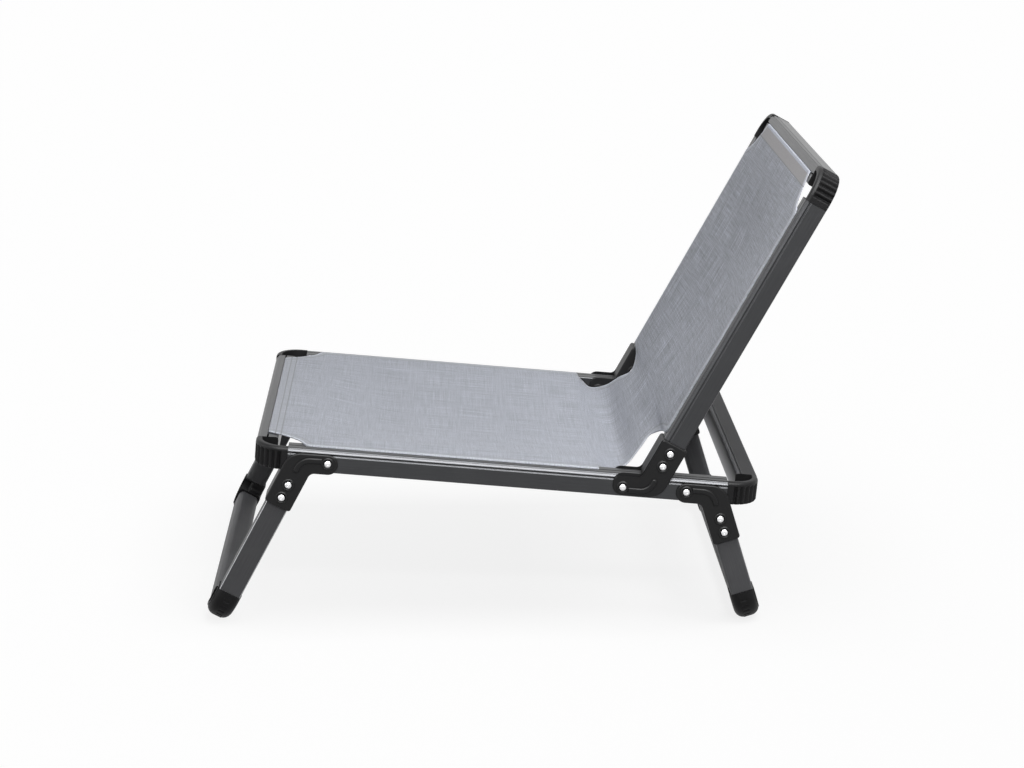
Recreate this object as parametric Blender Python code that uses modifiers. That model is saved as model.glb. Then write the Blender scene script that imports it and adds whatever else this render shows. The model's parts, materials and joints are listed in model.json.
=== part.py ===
"""Low folding lounge chair: a seat frame that carries a back frame and two leg frames.

Each swinging frame is a U of straight tubes and ribbed corner connectors. Forked
brackets hold it to the seat rails and turn there on rivets. A mesh sling runs in
the tube slots from the front of the seat to the top of the back.

Units are metres, +Z is up, +X points to the rear and -Y is the sitter's left.
"""
import math

import bmesh
import bpy
from mathutils import Matrix, Vector

MM = 0.001

# Seat frame
FRAME_WIDTH = 580 * MM
SEAT_LENGTH = 746 * MM
SEAT_FRONT_HEIGHT = 278.5 * MM
SEAT_TILT = math.radians(4.7)

# Hinges: places along the seat rail from its ends, and the angle of each fold
FRONT_PIVOT = 108.3 * MM
REAR_PIVOT_INSET = 109.8 * MM
HINGE_SPACING = 94.3 * MM
PIVOT_ABOVE_UNDERSIDE = 15 * MM
FRONT_LEG_ANGLE = math.radians(113.0)
REAR_LEG_ANGLE = math.radians(112.3)
BACK_ANGLE = math.radians(113.7)
BACK_STOPS_SHORT = math.radians(5.2)

# Back frame, from the hinge line to the outer face of the top tube
BACK_LENGTH = 546 * MM

# Tube extrusions
TUBE_WIDTH = 32 * MM
TUBE_DEPTH = 34 * MM
TUBE_WALL = 1.8 * MM
TUBE_EDGE = 4 * MM
LEG_EDGE = 8 * MM
SHOULDER = 8 * MM
TRIM_LINE = 0.8 * MM
TRIM_DROP = 1.5 * MM
SLOT_WIDTH = 2.4 * MM
SLOT_LIP = 2.2 * MM
SLOT_BORE = 8.4 * MM

# Corner connectors
BEND_RADIUS = 25 * MM
COLLAR = 8 * MM
PLUG = 18 * MM
CONNECTOR_PROUD = 0.3 * MM
CONNECTOR_EDGE = 5 * MM
RIB_COUNT = 6
RIB_DEPTH = 1.6 * MM
RIM_WIDTH = 9 * MM
RECESS_DEPTH = 14 * MM
FOOT_PROUD = 1.8 * MM
FOOT_ROUNDING = 10 * MM
SOLE_CUT = 1.2 * MM

# Forked brackets
PLATE = 3 * MM
PLATE_END = 15 * MM
PLATE_LOW = 13 * MM
PLATE_HIGH = 17 * MM
ELBOW_RADIUS = 29 * MM
CROOK_RADIUS = 10 * MM
TIP_RADIUS = 4 * MM
GRIP_LENGTH = 45.5 * MM
STOP_WEB = 1.5 * MM
FOLD_GAP = 0.5 * MM
INNER_LIP = 3 * MM
SCOOP_SETBACK = 1.4 * MM
BOSS_RADIUS = 8.5 * MM
BOSS_HEIGHT = 1.0 * MM
RIDGE_WIDTH = 6.4 * MM
RIDGE_HEIGHT = 1.2 * MM
RIDGE_DROP = 4 * MM
RIDGE_END_GAP = 24 * MM

# Rivets
RIVET_SHANK = 5 * MM
RIVET_HEAD = 10 * MM
RIVET_DOME = 2.4 * MM
RIVET_PITCH = 21.8 * MM
RIVET_MARGIN = 15 * MM

# Sling
SHEET = 1.2 * MM
SEAT_SAG = 20 * MM
BACK_SAG = 18 * MM
SAG_RUN = 180 * MM
CORNER_SCOOP = 78 * MM
HINGE_SCOOP = 40 * MM
HINGE_SCOOP_RUN = 36 * MM
SEAT_HOLD_GAP = 58 * MM
BACK_HOLD_START = 101 * MM
BEND_STIFFNESS = 120 * MM

# Fits
CLEAR = 0.3 * MM
WELT_CLEAR = 0.5 * MM
PLUG_CLEAR = 0.9 * MM

# Facets
ROUND_STEPS = 8
BOSS_STEPS = 10
CURVE_STEPS = 4
SOLE_STEPS = 3
BEND_STEPS = 8

# Worked out from the sizes above
HALF_TUBE = TUBE_WIDTH / 2
HALF_DEPTH = TUBE_DEPTH / 2
RAIL_LINE = FRAME_WIDTH / 2 - HALF_TUBE
REAR_PIVOT = SEAT_LENGTH - REAR_PIVOT_INSET
BACK_PIVOT = REAR_PIVOT - HINGE_SPACING
PIVOT_Z = PIVOT_ABOVE_UNDERSIDE - HALF_DEPTH
ABOVE_PIVOT = TUBE_DEPTH - PIVOT_ABOVE_UNDERSIDE
SIDE_GAP = CONNECTOR_PROUD + CLEAR
ARM_OFFSET = ABOVE_PIVOT + HALF_DEPTH + FOLD_GAP
CORNER_REACH = BEND_RADIUS + HALF_TUBE + COLLAR
FORK_HALF = HALF_TUBE + SIDE_GAP + PLATE
RIVET_HALF = FORK_HALF + BOSS_HEIGHT + CLEAR
BORE_RADIUS = RIVET_SHANK / 2 + CLEAR
SLOT_CENTRE = HALF_DEPTH - SLOT_LIP - math.sqrt((SLOT_BORE / 2) ** 2 - (SLOT_WIDTH / 2) ** 2)
WELT_RADIUS = SLOT_BORE / 2 - WELT_CLEAR
SHEET_Z = HALF_DEPTH + CLEAR + SHEET / 2
SAG_EDGE = FRAME_WIDTH / 2 - 2 * TUBE_WIDTH
CORNER_DRAW = CORNER_SCOOP - HALF_TUBE
FAR = 2 * FRAME_WIDTH

LEFT, RIGHT = -1, 1
SIDE_NAMES = {LEFT: "left", RIGHT: "right"}


# Scene and object helpers

def clear_scene():
    for item in list(bpy.data.objects):
        bpy.data.objects.remove(item, do_unlink=True)


def new_collection(name):
    collection = bpy.data.collections.new(name)
    bpy.context.scene.collection.children.link(collection)
    return collection


def new_material(name, colour, roughness, metallic):
    material = bpy.data.materials.new(name)
    material.use_nodes = True
    shader = material.node_tree.nodes["Principled BSDF"]
    shader.inputs["Base Color"].default_value = (*colour, 1.0)
    shader.inputs["Roughness"].default_value = roughness
    shader.inputs["Metallic"].default_value = metallic
    return material


def new_empty(name, parent, matrix):
    empty = bpy.data.objects.new(name, None)
    PARTS.objects.link(empty)
    empty.parent = parent
    empty.matrix_basis = matrix
    return empty


def finish_mesh(bm, name):
    bmesh.ops.remove_doubles(bm, verts=bm.verts, dist=0.00001)
    bmesh.ops.recalc_face_normals(bm, faces=bm.faces)
    mesh = bpy.data.meshes.new(name)
    bm.to_mesh(mesh)
    bm.free()
    return mesh


def add_part(name, mesh, material, parent):
    part = bpy.data.objects.new(name, mesh)
    mesh.materials.append(material)
    mesh.shade_smooth()
    mesh.set_sharp_from_angle(angle=math.radians(35))
    PARTS.objects.link(part)
    part.parent = parent
    return part


def add_cutter(name, mesh, parent):
    cutter = bpy.data.objects.new(name, mesh)
    CUTTERS.objects.link(cutter)
    cutter.parent = parent
    cutter.hide_render = True
    cutter.display_type = "WIRE"
    return cutter


def combine(part, tool, operation):
    modifier = part.modifiers.new(tool.name, "BOOLEAN")
    modifier.operation = operation
    modifier.object = tool


# Outline helpers, all in a flat plane

def arc(centre_x, centre_y, radius, start, end, steps):
    """Points on an arc, angles in degrees."""
    points = []
    for step in range(steps + 1):
        angle = math.radians(start + (end - start) * step / steps)
        points.append((centre_x + radius * math.cos(angle), centre_y + radius * math.sin(angle)))
    return points


def rounded(corners, steps=CURVE_STEPS):
    """Round a polygon given as (x, y, radius) corners."""
    points = []
    for index, (x, y, radius) in enumerate(corners):
        here = Vector((x, y))
        if radius == 0:
            points.append((x, y))
            continue
        before = Vector(corners[index - 1][:2]) - here
        after = Vector(corners[(index + 1) % len(corners)][:2]) - here
        before.normalize()
        after.normalize()
        half_angle = before.angle(after) / 2
        middle = here + (before + after).normalized() * radius / math.sin(half_angle)
        first = here + before * radius / math.tan(half_angle) - middle
        last = here + after * radius / math.tan(half_angle) - middle
        start = math.degrees(math.atan2(first.y, first.x))
        turn = math.degrees(math.atan2(last.y, last.x)) - start
        turn = (turn + 180) % 360 - 180
        points += arc(middle.x, middle.y, radius, start, start + turn, steps)
    return points


def rectangle(left, right, bottom, top, edge, steps):
    return rounded([(left, bottom, edge), (right, bottom, edge), (right, top, edge), (left, top, edge)], steps)


def outline_solid(name, outlines, half_length):
    """Extrude flat outlines, the first one solid and the others holes, both ways along Z.

    The outline is filled in millimetres and then scaled to metres, which keeps fine corners.
    """
    curve = bpy.data.curves.new(name, "CURVE")
    curve.dimensions = "2D"
    curve.fill_mode = "BOTH"
    curve.extrude = half_length / MM
    for outline in outlines:
        spline = curve.splines.new("POLY")
        spline.points.add(len(outline) - 1)
        spline.use_cyclic_u = True
        for point, (x, y) in zip(spline.points, outline):
            point.co = (x / MM, y / MM, 0.0, 1.0)
    helper = bpy.data.objects.new(name, curve)
    CUTTERS.objects.link(helper)
    depsgraph = bpy.context.evaluated_depsgraph_get()
    mesh = bpy.data.meshes.new_from_object(helper.evaluated_get(depsgraph))
    bm = bmesh.new()
    bm.from_mesh(mesh)
    bmesh.ops.scale(bm, vec=(MM, MM, MM), verts=bm.verts)
    bpy.data.objects.remove(helper)
    bpy.data.curves.remove(curve)
    bpy.data.meshes.remove(mesh)
    return bm


def axes(x_axis, y_axis, origin):
    """Matrix that carries a flat outline and its extrusion to the given axes."""
    x_axis, y_axis = Vector(x_axis), Vector(y_axis)
    rotation = Matrix((x_axis, y_axis, x_axis.cross(y_axis))).transposed().to_4x4()
    return Matrix.Translation(origin) @ rotation


# Tube extrusions, drawn with x pointing out of the frame and y towards the sitter

def slotted_outlines():
    slot = SLOT_WIDTH / 2
    bore = SLOT_BORE / 2
    mouth = math.degrees(math.asin(slot / bore))
    trim = HALF_DEPTH - SHOULDER - TRIM_DROP
    outer = arc(TUBE_EDGE - HALF_TUBE, TUBE_EDGE - HALF_DEPTH, TUBE_EDGE, 180, 270, 2)
    outer += arc(HALF_TUBE - TUBE_EDGE, TUBE_EDGE - HALF_DEPTH, TUBE_EDGE, 270, 360, 2)
    outer += [(HALF_TUBE, trim - TRIM_LINE), (HALF_TUBE - TRIM_LINE, trim), (HALF_TUBE, trim + TRIM_LINE)]
    outer += arc(HALF_TUBE - SHOULDER, HALF_DEPTH - SHOULDER, SHOULDER, 0, 90, 4)
    outer += [(slot, HALF_DEPTH)]
    outer += arc(0, SLOT_CENTRE, bore, 90 - mouth, mouth - 270, 9)
    outer += [(-slot, HALF_DEPTH)]
    outer += arc(TUBE_EDGE - HALF_TUBE, HALF_DEPTH - TUBE_EDGE, TUBE_EDGE, 90, 180, 2)
    return [outer, rectangle(*slotted_cavity(), TUBE_WALL, 1)]


def slotted_cavity():
    inside = HALF_TUBE - TUBE_WALL
    return -inside, inside, TUBE_WALL - HALF_DEPTH, SLOT_CENTRE - SLOT_BORE / 2 - TUBE_WALL


def plain_cavity():
    inside = HALF_TUBE - TUBE_WALL
    return -inside, inside, TUBE_WALL - HALF_DEPTH, HALF_DEPTH - TUBE_WALL


def plain_outlines():
    outer = rectangle(-HALF_TUBE, HALF_TUBE, -HALF_DEPTH, HALF_DEPTH, LEG_EDGE, 3)
    return [outer, rectangle(*plain_cavity(), TUBE_EDGE, 1)]


def trimmed_outlines():
    """Closed tube with the extrusion's trim line on its upper face."""
    trim = SHOULDER + TRIM_DROP - HALF_TUBE
    outer = arc(TUBE_EDGE - HALF_TUBE, TUBE_EDGE - HALF_DEPTH, TUBE_EDGE, 180, 270, 2)
    outer += arc(HALF_TUBE - TUBE_EDGE, TUBE_EDGE - HALF_DEPTH, TUBE_EDGE, 270, 360, 2)
    outer += arc(HALF_TUBE - TUBE_EDGE, HALF_DEPTH - TUBE_EDGE, TUBE_EDGE, 0, 90, 2)
    outer += [(trim + TRIM_LINE, HALF_DEPTH), (trim, HALF_DEPTH - TRIM_LINE), (trim - TRIM_LINE, HALF_DEPTH)]
    outer += arc(SHOULDER - HALF_TUBE, HALF_DEPTH - SHOULDER, SHOULDER, 90, 180, 4)
    return [outer, rectangle(*plain_cavity(), TUBE_WALL, 1)]


def side_tube(name, outlines, side, start, end, level, parent):
    """Tube along local X, on the left or right of a frame."""
    bm = outline_solid(name, outlines, (end - start) / 2)
    middle = ((start + end) / 2, side * RAIL_LINE, level)
    bmesh.ops.transform(bm, matrix=axes((0, side, 0), (0, 0, 1), middle), verts=bm.verts)
    return add_part(name, finish_mesh(bm, name), ALUMINIUM, parent)


def cross_tube(name, outlines, outward, end_face, level, parent):
    """Tube along local Y between two corner connectors; outward is +1 or -1 along X."""
    half_length = FRAME_WIDTH / 2 - CORNER_REACH - CLEAR
    bm = outline_solid(name, outlines, half_length)
    middle = (end_face - outward * HALF_TUBE, 0, level)
    bmesh.ops.transform(bm, matrix=axes((outward, 0, 0), (0, 0, 1), middle), verts=bm.verts)
    return add_part(name, finish_mesh(bm, name), ALUMINIUM, parent)


# Corner connectors: a loft of sections round the bend, with a plug at each end

def connector_section(groove, recess, proud, back_edge):
    """Section with x out of the bend and y towards the recessed face."""
    out = HALF_TUBE + proud
    face = HALF_DEPTH + proud
    edge = CONNECTOR_EDGE
    grooved = RIB_DEPTH if groove else 0.0
    steps = SOLE_STEPS if back_edge == FOOT_ROUNDING else 1
    points = arc(out - back_edge - grooved, back_edge - face, back_edge, 270, 360, steps)
    points += [(out - grooved, face - 2 * edge), (out, face - 1.6 * edge)]
    points += arc(out - edge, face - edge, edge, 0, 90, 2)
    points.append((out - RIM_WIDTH, face))
    if recess:
        points += [(out - RIM_WIDTH - TUBE_WALL, face - RECESS_DEPTH), (-out, face - RECESS_DEPTH)]
    else:
        points += [(TUBE_EDGE - out, face), (-out, face - TUBE_EDGE)]
    points += [(-out, TUBE_EDGE - face), (TUBE_EDGE - out, -face)]
    return points


def plug_section(cavity, section, proud):
    """The connector's section shrunk to slide into a tube's cavity."""
    left, right, bottom, top = cavity
    scale_x = (right - left - 2 * PLUG_CLEAR) / (TUBE_WIDTH + 2 * proud)
    scale_y = (top - bottom - 2 * PLUG_CLEAR) / (TUBE_DEPTH + 2 * proud)
    return [((left + right) / 2 + x * scale_x, (bottom + top) / 2 + y * scale_y) for x, y in section]


def connector(name, outward, side, end_face, level, cavities, is_foot, parent):
    """Corner between a side tube and a cross tube; a foot has its recess on the other face."""
    turned = -1 if is_foot else 1
    proud = FOOT_PROUD if is_foot else CONNECTOR_PROUD
    back_edge = FOOT_ROUNDING if is_foot else TUBE_EDGE
    centre_x = end_face - outward * (BEND_RADIUS + HALF_TUBE)
    centre_y = FRAME_WIDTH / 2 - BEND_RADIUS - HALF_TUBE
    bm = bmesh.new()

    def ring(section, angle, before, after):
        verts = []
        for x, y in section:
            reach = BEND_RADIUS + x
            along = reach * math.sin(angle) - before
            across = reach * math.cos(angle) - after
            place = (centre_x + outward * along, side * (centre_y + across), level + turned * y)
            verts.append(bm.verts.new(place))
        return verts

    full = connector_section(False, False, proud, back_edge)
    side_plug, cross_plug = [plug_section(cavity, full, proud) for cavity in cavities]
    quarter = math.pi / 2
    rings = [ring(side_plug, 0, COLLAR + PLUG, 0), ring(side_plug, 0, COLLAR, 0)]
    rings += [ring(full, 0, COLLAR, 0), ring(full, 0, 0, 0)]
    for step in range(1, 2 * RIB_COUNT):
        section = connector_section(step % 2 == 0, True, proud, back_edge)
        rings.append(ring(section, quarter * step / (2 * RIB_COUNT), 0, 0))
    rings += [ring(full, quarter, 0, 0), ring(full, quarter, 0, COLLAR)]
    rings += [ring(cross_plug, quarter, 0, COLLAR), ring(cross_plug, quarter, 0, COLLAR + PLUG)]
    for first, second in zip(rings, rings[1:]):
        for index in range(len(first)):
            bm.faces.new((first[index - 1], first[index], second[index], second[index - 1]))
    bm.faces.new(rings[0])
    bm.faces.new(rings[-1])
    return add_part(name, finish_mesh(bm, name), PLASTIC, parent)


# Rivets

def rivet(name, place, parent):
    head = RIVET_HEAD / 2
    shank = RIVET_SHANK / 2
    upper = [(0, RIVET_HALF + RIVET_DOME), (0.7 * head, RIVET_HALF + 0.72 * RIVET_DOME)]
    upper += [(head, RIVET_HALF), (shank, RIVET_HALF)]
    profile = upper + [(x, -z) for x, z in reversed(upper)]
    bm = bmesh.new()
    verts = [bm.verts.new((x, 0, z)) for x, z in profile]
    for first, second in zip(verts, verts[1:]):
        bm.edges.new((first, second))
    mesh = bpy.data.meshes.new(name)
    bm.to_mesh(mesh)
    bm.free()
    part = bpy.data.objects.new(name, mesh)
    mesh.materials.append(STEEL)
    PARTS.objects.link(part)
    part.parent = parent
    part.location = place
    part.rotation_euler = (math.pi / 2, 0, 0)
    turn = part.modifiers.new("turn", "SCREW")
    turn.steps = ROUND_STEPS
    turn.render_steps = ROUND_STEPS
    turn.use_merge_vertices = True
    turn.merge_threshold = 0.00001
    turn.use_smooth_shade = True
    return part


def bore_cutter(name, places, parent):
    """Cylinders along Y for rivets, at (x, y, z) places."""
    bm = bmesh.new()
    for place in places:
        turn = Matrix.Translation(place) @ Matrix.Rotation(math.pi / 2, 4, "X")
        bmesh.ops.create_cone(bm, cap_ends=True, segments=ROUND_STEPS, radius1=BORE_RADIUS,
                              radius2=BORE_RADIUS, depth=4 * FORK_HALF, matrix=turn)
    return add_cutter(name, finish_mesh(bm, name), parent)


# Forked brackets

class Arm:
    """Geometry of one swinging frame at its hinge.

    Local X runs along the tube away from the hinge and local Z faces the fold. The
    tube's axis lies ARM_OFFSET behind the hinge line. Rail coordinates (u, v) run along
    the seat rail to the elbow, and square to it towards the tube.
    """

    def __init__(self, fold_angle, rail_gap, stops_short):
        self.lean = math.pi - fold_angle
        self.rail_gap = rail_gap
        self.travel = fold_angle - stops_short
        self.tube_start = self.tube_start_for(rail_gap)

    def tube_start_for(self, rail_gap):
        """Where a square tube end clears the rail's face by the stop web."""
        corner = (ARM_OFFSET + HALF_DEPTH) * math.cos(self.lean)
        return (rail_gap + SIDE_GAP + STOP_WEB + corner) / math.sin(self.lean)

    def from_rail(self, u, v):
        x = u * math.cos(self.lean) + v * math.sin(self.lean)
        z = v * math.cos(self.lean) - u * math.sin(self.lean)
        return x, z

    def crossing(self, v, z):
        """Local X of the point at rail height v on the line of constant local Z."""
        return (v - z * math.cos(self.lean)) / math.sin(self.lean)


def rivet_stations():
    last = GRIP_END - RIVET_MARGIN
    return last - RIVET_PITCH, last


def fork_outline(arm, high):
    """Side view of a bracket: round hinge end, elbow, and the sleeve for the tube."""
    outer = -(ARM_OFFSET + HALF_DEPTH + SIDE_GAP + PLATE)
    inner = -(ARM_OFFSET - HALF_DEPTH - SIDE_GAP - PLATE)
    corners = [
        (*arm.from_rail(-PLATE_END, -PLATE_LOW), PLATE_END),
        (arm.crossing(-PLATE_LOW, outer), outer, ELBOW_RADIUS),
        (GRIP_END, outer, TIP_RADIUS),
        (GRIP_END, inner, TIP_RADIUS),
        (arm.crossing(high, inner), inner, CROOK_RADIUS),
        (*arm.from_rail(-PLATE_END, high), PLATE_END - CLEAR),
    ]
    return rounded(corners)


def ridge_outline(arm):
    """Raised line from the hinge boss round the elbow towards the tube rivets."""
    half = RIDGE_WIDTH / 2
    near, far = -RIDGE_DROP + half, -RIDGE_DROP - half
    inner, outer = -ARM_OFFSET - CLEAR + half, -ARM_OFFSET - CLEAR - half
    end = rivet_stations()[0] - RIDGE_END_GAP
    corners = [
        (*arm.from_rail(BOSS_RADIUS / 2, near), 0),
        (*arm.from_rail(BOSS_RADIUS / 2, far), 0),
        (arm.crossing(far, outer), outer, ELBOW_RADIUS - half),
        (end, outer, half - CLEAR),
        (end, inner, half - CLEAR),
        (arm.crossing(near, inner), inner, ELBOW_RADIUS - half - RIDGE_WIDTH),
    ]
    return rounded(corners)


def side_solid(name, outline, half_length, y):
    """Extrude a side-view outline along Y, centred at y."""
    bm = outline_solid(name, [outline], half_length)
    bmesh.ops.transform(bm, matrix=axes((1, 0, 0), (0, 0, 1), (0, y, 0)), verts=bm.verts)
    return bm


def add_bracket(name, arm, side, has_scoop, parent):
    middle = side * RAIL_LINE
    first, second = rivet_stations()
    high = arm.rail_gap + INNER_LIP if has_scoop else PLATE_HIGH
    bm = side_solid(name, fork_outline(arm, high), FORK_HALF, middle)
    part = add_part(name, finish_mesh(bm, name), PLASTIC, parent)
    rivets = [(0, 0), (first, -ARM_OFFSET), (second, -ARM_OFFSET)]

    bosses = bmesh.new()
    for x, z in rivets:
        turn = Matrix.Translation((x, middle, z)) @ Matrix.Rotation(math.pi / 2, 4, "X")
        bmesh.ops.create_cone(bosses, cap_ends=True, segments=BOSS_STEPS, radius1=BOSS_RADIUS,
                              radius2=BOSS_RADIUS, depth=2 * (FORK_HALF + BOSS_HEIGHT), matrix=turn)
    combine(part, add_cutter(name + "_bosses", finish_mesh(bosses, name), parent), "UNION")
    ridge = side_solid(name, ridge_outline(arm), FORK_HALF + RIDGE_HEIGHT, middle)
    combine(part, add_cutter(name + "_ridge", finish_mesh(ridge, name), parent), "UNION")

    # The rail's room in the fork, at rest and folded
    gap = HALF_TUBE + SIDE_GAP
    for label, turn in (("rest", 0.0), ("folded", arm.travel)):
        room = bmesh.new()
        bmesh.ops.create_cube(room, size=1.0)
        height = arm.rail_gap + SIDE_GAP + FAR
        scale = Matrix.Diagonal((2 * FAR, 2 * gap, height, 1))
        place = Matrix.Translation((0, middle, arm.rail_gap + SIDE_GAP - height / 2))
        spin = Matrix.Rotation(arm.lean + turn, 4, "Y")
        bmesh.ops.transform(room, matrix=spin @ place @ scale, verts=room.verts)
        combine(part, add_cutter(f"{name}_{label}_room", finish_mesh(room, name), parent), "DIFFERENCE")

    half = HALF_DEPTH + SIDE_GAP
    sleeve = rectangle(arm.tube_start - CLEAR, GRIP_END + GRIP_LENGTH, -ARM_OFFSET - half, -ARM_OFFSET + half, 0, 0)
    sleeve_mesh = finish_mesh(side_solid(name, sleeve, gap, middle), name)
    combine(part, add_cutter(name + "_sleeve", sleeve_mesh, parent), "DIFFERENCE")
    if has_scoop:
        inner = -(ARM_OFFSET - half - PLATE + SCOOP_SETBACK)
        corners = [
            (*arm.from_rail(-FAR, PLATE_HIGH), 0),
            (*arm.from_rail(-FAR, FAR), 0),
            (FAR, inner, 0),
            (arm.crossing(PLATE_HIGH, inner), inner, CROOK_RADIUS),
        ]
        outside = middle + side * (gap + FORK_HALF)
        scoop = side_solid(name, rounded(corners), FORK_HALF - CLEAR, outside)
        combine(part, add_cutter(name + "_scoop", finish_mesh(scoop, name), parent), "DIFFERENCE")
    places = [(x, middle, z) for x, z in rivets]
    combine(part, bore_cutter(name + "_bores", places, parent), "DIFFERENCE")
    return part


# Frames

def swinging_frame(prefix, arm, names, length, outlines, cavity, is_back, parent, mirrored):
    """A U of two side tubes, an end tube and two connectors, with brackets and rivets."""
    level = -ARM_OFFSET
    stations = rivet_stations()
    end = length - CORNER_REACH - CLEAR
    for side in (LEFT, RIGHT):
        label = SIDE_NAMES[-side if mirrored else side]
        tube = side_tube(f"{names['side']}_{label}", outlines, side, arm.tube_start, end, level, parent)
        places = [(x, side * RAIL_LINE, level) for x in stations]
        combine(tube, bore_cutter(f"{prefix}_bores_{label}", places, parent), "DIFFERENCE")
        corner = connector(f"{names['corner']}_{label}", 1, side, length, level, (cavity, cavity),
                           not is_back, parent)
        if not is_back:
            combine(corner, FLOOR, "DIFFERENCE")
        add_bracket(f"{prefix}_bracket_{label}", arm, side, is_back, parent)
        for place, height in zip(places, ("inner", "outer")):
            rivet(f"{prefix}_rivet_{height}_{label}", place, parent)
    cross_tube(names["cross"], outlines, 1, length, level, parent)


def seat_frame(parent):
    ends = CORNER_REACH + CLEAR
    for side in (LEFT, RIGHT):
        label = SIDE_NAMES[side]
        rail = side_tube(f"seat_rail_{label}", slotted_outlines(), side, ends, SEAT_LENGTH - ends, 0, parent)
        places = [(x, side * RAIL_LINE, PIVOT_Z) for x in (FRONT_PIVOT, BACK_PIVOT, REAR_PIVOT)]
        combine(rail, bore_cutter(f"seat_bores_{label}", places, parent), "DIFFERENCE")
        for place, hinge in zip(places, ("front_leg", "back", "rear_leg")):
            rivet(f"{hinge}_pivot_rivet_{label}", place, parent)
        slotted, plain = slotted_cavity(), plain_cavity()
        connector(f"seat_front_corner_{label}", -1, side, 0, 0, (slotted, slotted), False, parent)
        connector(f"seat_rear_corner_{label}", 1, side, SEAT_LENGTH, 0, (slotted, plain), False, parent)
    cross_tube("seat_front_tube", slotted_outlines(), -1, 0, 0, parent)
    cross_tube("seat_rear_tube", trimmed_outlines(), 1, SEAT_LENGTH, 0, parent)


def leg_length(hinge):
    """Length that puts the foot's rounded edge just through the floor, where its sole is cut."""
    world = SEAT_PLACE @ hinge
    along, square = world[2][0], world[2][2]
    face = HALF_DEPTH + FOOT_PROUD - FOOT_ROUNDING - ARM_OFFSET
    drop = FOOT_ROUNDING - SOLE_CUT - world.translation.z - face * square
    return drop / along + FOOT_ROUNDING - FOOT_PROUD


# Sling

def smooth(share):
    share = min(max(share, 0.0), 1.0)
    return share * share * (3 - 2 * share)


def drawn_in(distance, run, depth):
    """How far a free edge draws in at a distance from its loose end."""
    share = min(max(distance / run, 0.0), 1.0)
    return depth * math.sqrt(1.0 - share)


def sheet_row(x, level, half, sag):
    """Points across the sling, flat over the rails and hanging between them."""
    land = half - HALF_TUBE
    columns = [half, land, 0.8 * land, 0.55 * land, 0.28 * land]
    row = []
    for y in columns + [0.0] + columns[::-1]:
        across = min(y / SAG_EDGE, 1.0)
        row.append([x, y, level + SHEET_Z - sag * (1 - across * across)])
    for point in row[:len(columns)]:
        point[1] = -point[1]
    return row


def sheet_mesh(name, rows, held_from, held_to, end_row):
    """Sheet of rows whose held side edges, and one held end row, turn down into the slots."""
    bm = bmesh.new()
    grid = [[bm.verts.new(point) for point in row] for row in rows]
    for first, second in zip(grid, grid[1:]):
        for index in range(len(first) - 1):
            bm.faces.new((first[index], first[index + 1], second[index + 1], second[index]))
    held = []
    if held_to is not None:
        for column in (0, -1):
            line = [row[column] for row in grid[held_from:held_to + 1]]
            held += [bm.edges.get(pair) for pair in zip(line, line[1:])]
        held += [bm.edges.get(pair) for pair in zip(grid[end_row], grid[end_row][1:])]
        skirt = bmesh.ops.extrude_edge_only(bm, edges=held)["geom"]
        lowered = [item for item in skirt if isinstance(item, bmesh.types.BMVert)]
        depth = SHEET_Z - SLOT_CENTRE - WELT_RADIUS - CLEAR
        bmesh.ops.translate(bm, verts=lowered, vec=(0, 0, -depth))
    return finish_mesh(bm, name)


def add_sheet(name, mesh, parent):
    part = add_part(name, mesh, MESH_CLOTH, parent)
    thicken = part.modifiers.new("thickness", "SOLIDIFY")
    thicken.thickness = SHEET
    thicken.offset = 0.0
    thicken.use_even_offset = True
    return part


def add_panel(name, slot, loose, level, sag, parent):
    """Held sling panel from the slot of a cross tube to its loose end at the hinge."""
    toward = 1 if loose > slot else -1
    length = abs(loose - slot)
    shares = [HALF_TUBE, HALF_TUBE + 0.5 * (CORNER_DRAW - HALF_TUBE), 0.8 * CORNER_DRAW, CORNER_DRAW]
    plain = length - HINGE_SCOOP_RUN - CORNER_DRAW
    shares += [CORNER_DRAW + plain * share for share in (0.15, 0.35, 0.6, 0.8)]
    distances = [0.0] + shares + [length - HINGE_SCOOP_RUN * share for share in (1.0, 0.7, 0.35, 0.0)]
    rows = []
    for distance in distances:
        half = RAIL_LINE - drawn_in(distance, CORNER_DRAW, CORNER_DRAW)
        half -= drawn_in(length - distance, HINGE_SCOOP_RUN, HINGE_SCOOP)
        hang = sag * smooth((distance - HALF_TUBE) / SAG_RUN)
        rows.append(sheet_row(slot + toward * distance, level, half, hang))
    add_sheet(name, sheet_mesh(name, rows, 4, len(rows) - 4, 0), parent)
    held = (slot + toward * CORNER_DRAW, slot + toward * (length - HINGE_SCOOP_RUN))
    depth = level + SLOT_CENTRE
    for side in (LEFT, RIGHT):
        line = side * RAIL_LINE
        welt(f"{name.split('_')[0]}_welt_{SIDE_NAMES[side]}", (held[0], line, depth), (held[1], line, depth), parent)
    half = FRAME_WIDTH / 2 - CORNER_SCOOP
    return (slot, -half, depth), (slot, half, depth)


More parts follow.
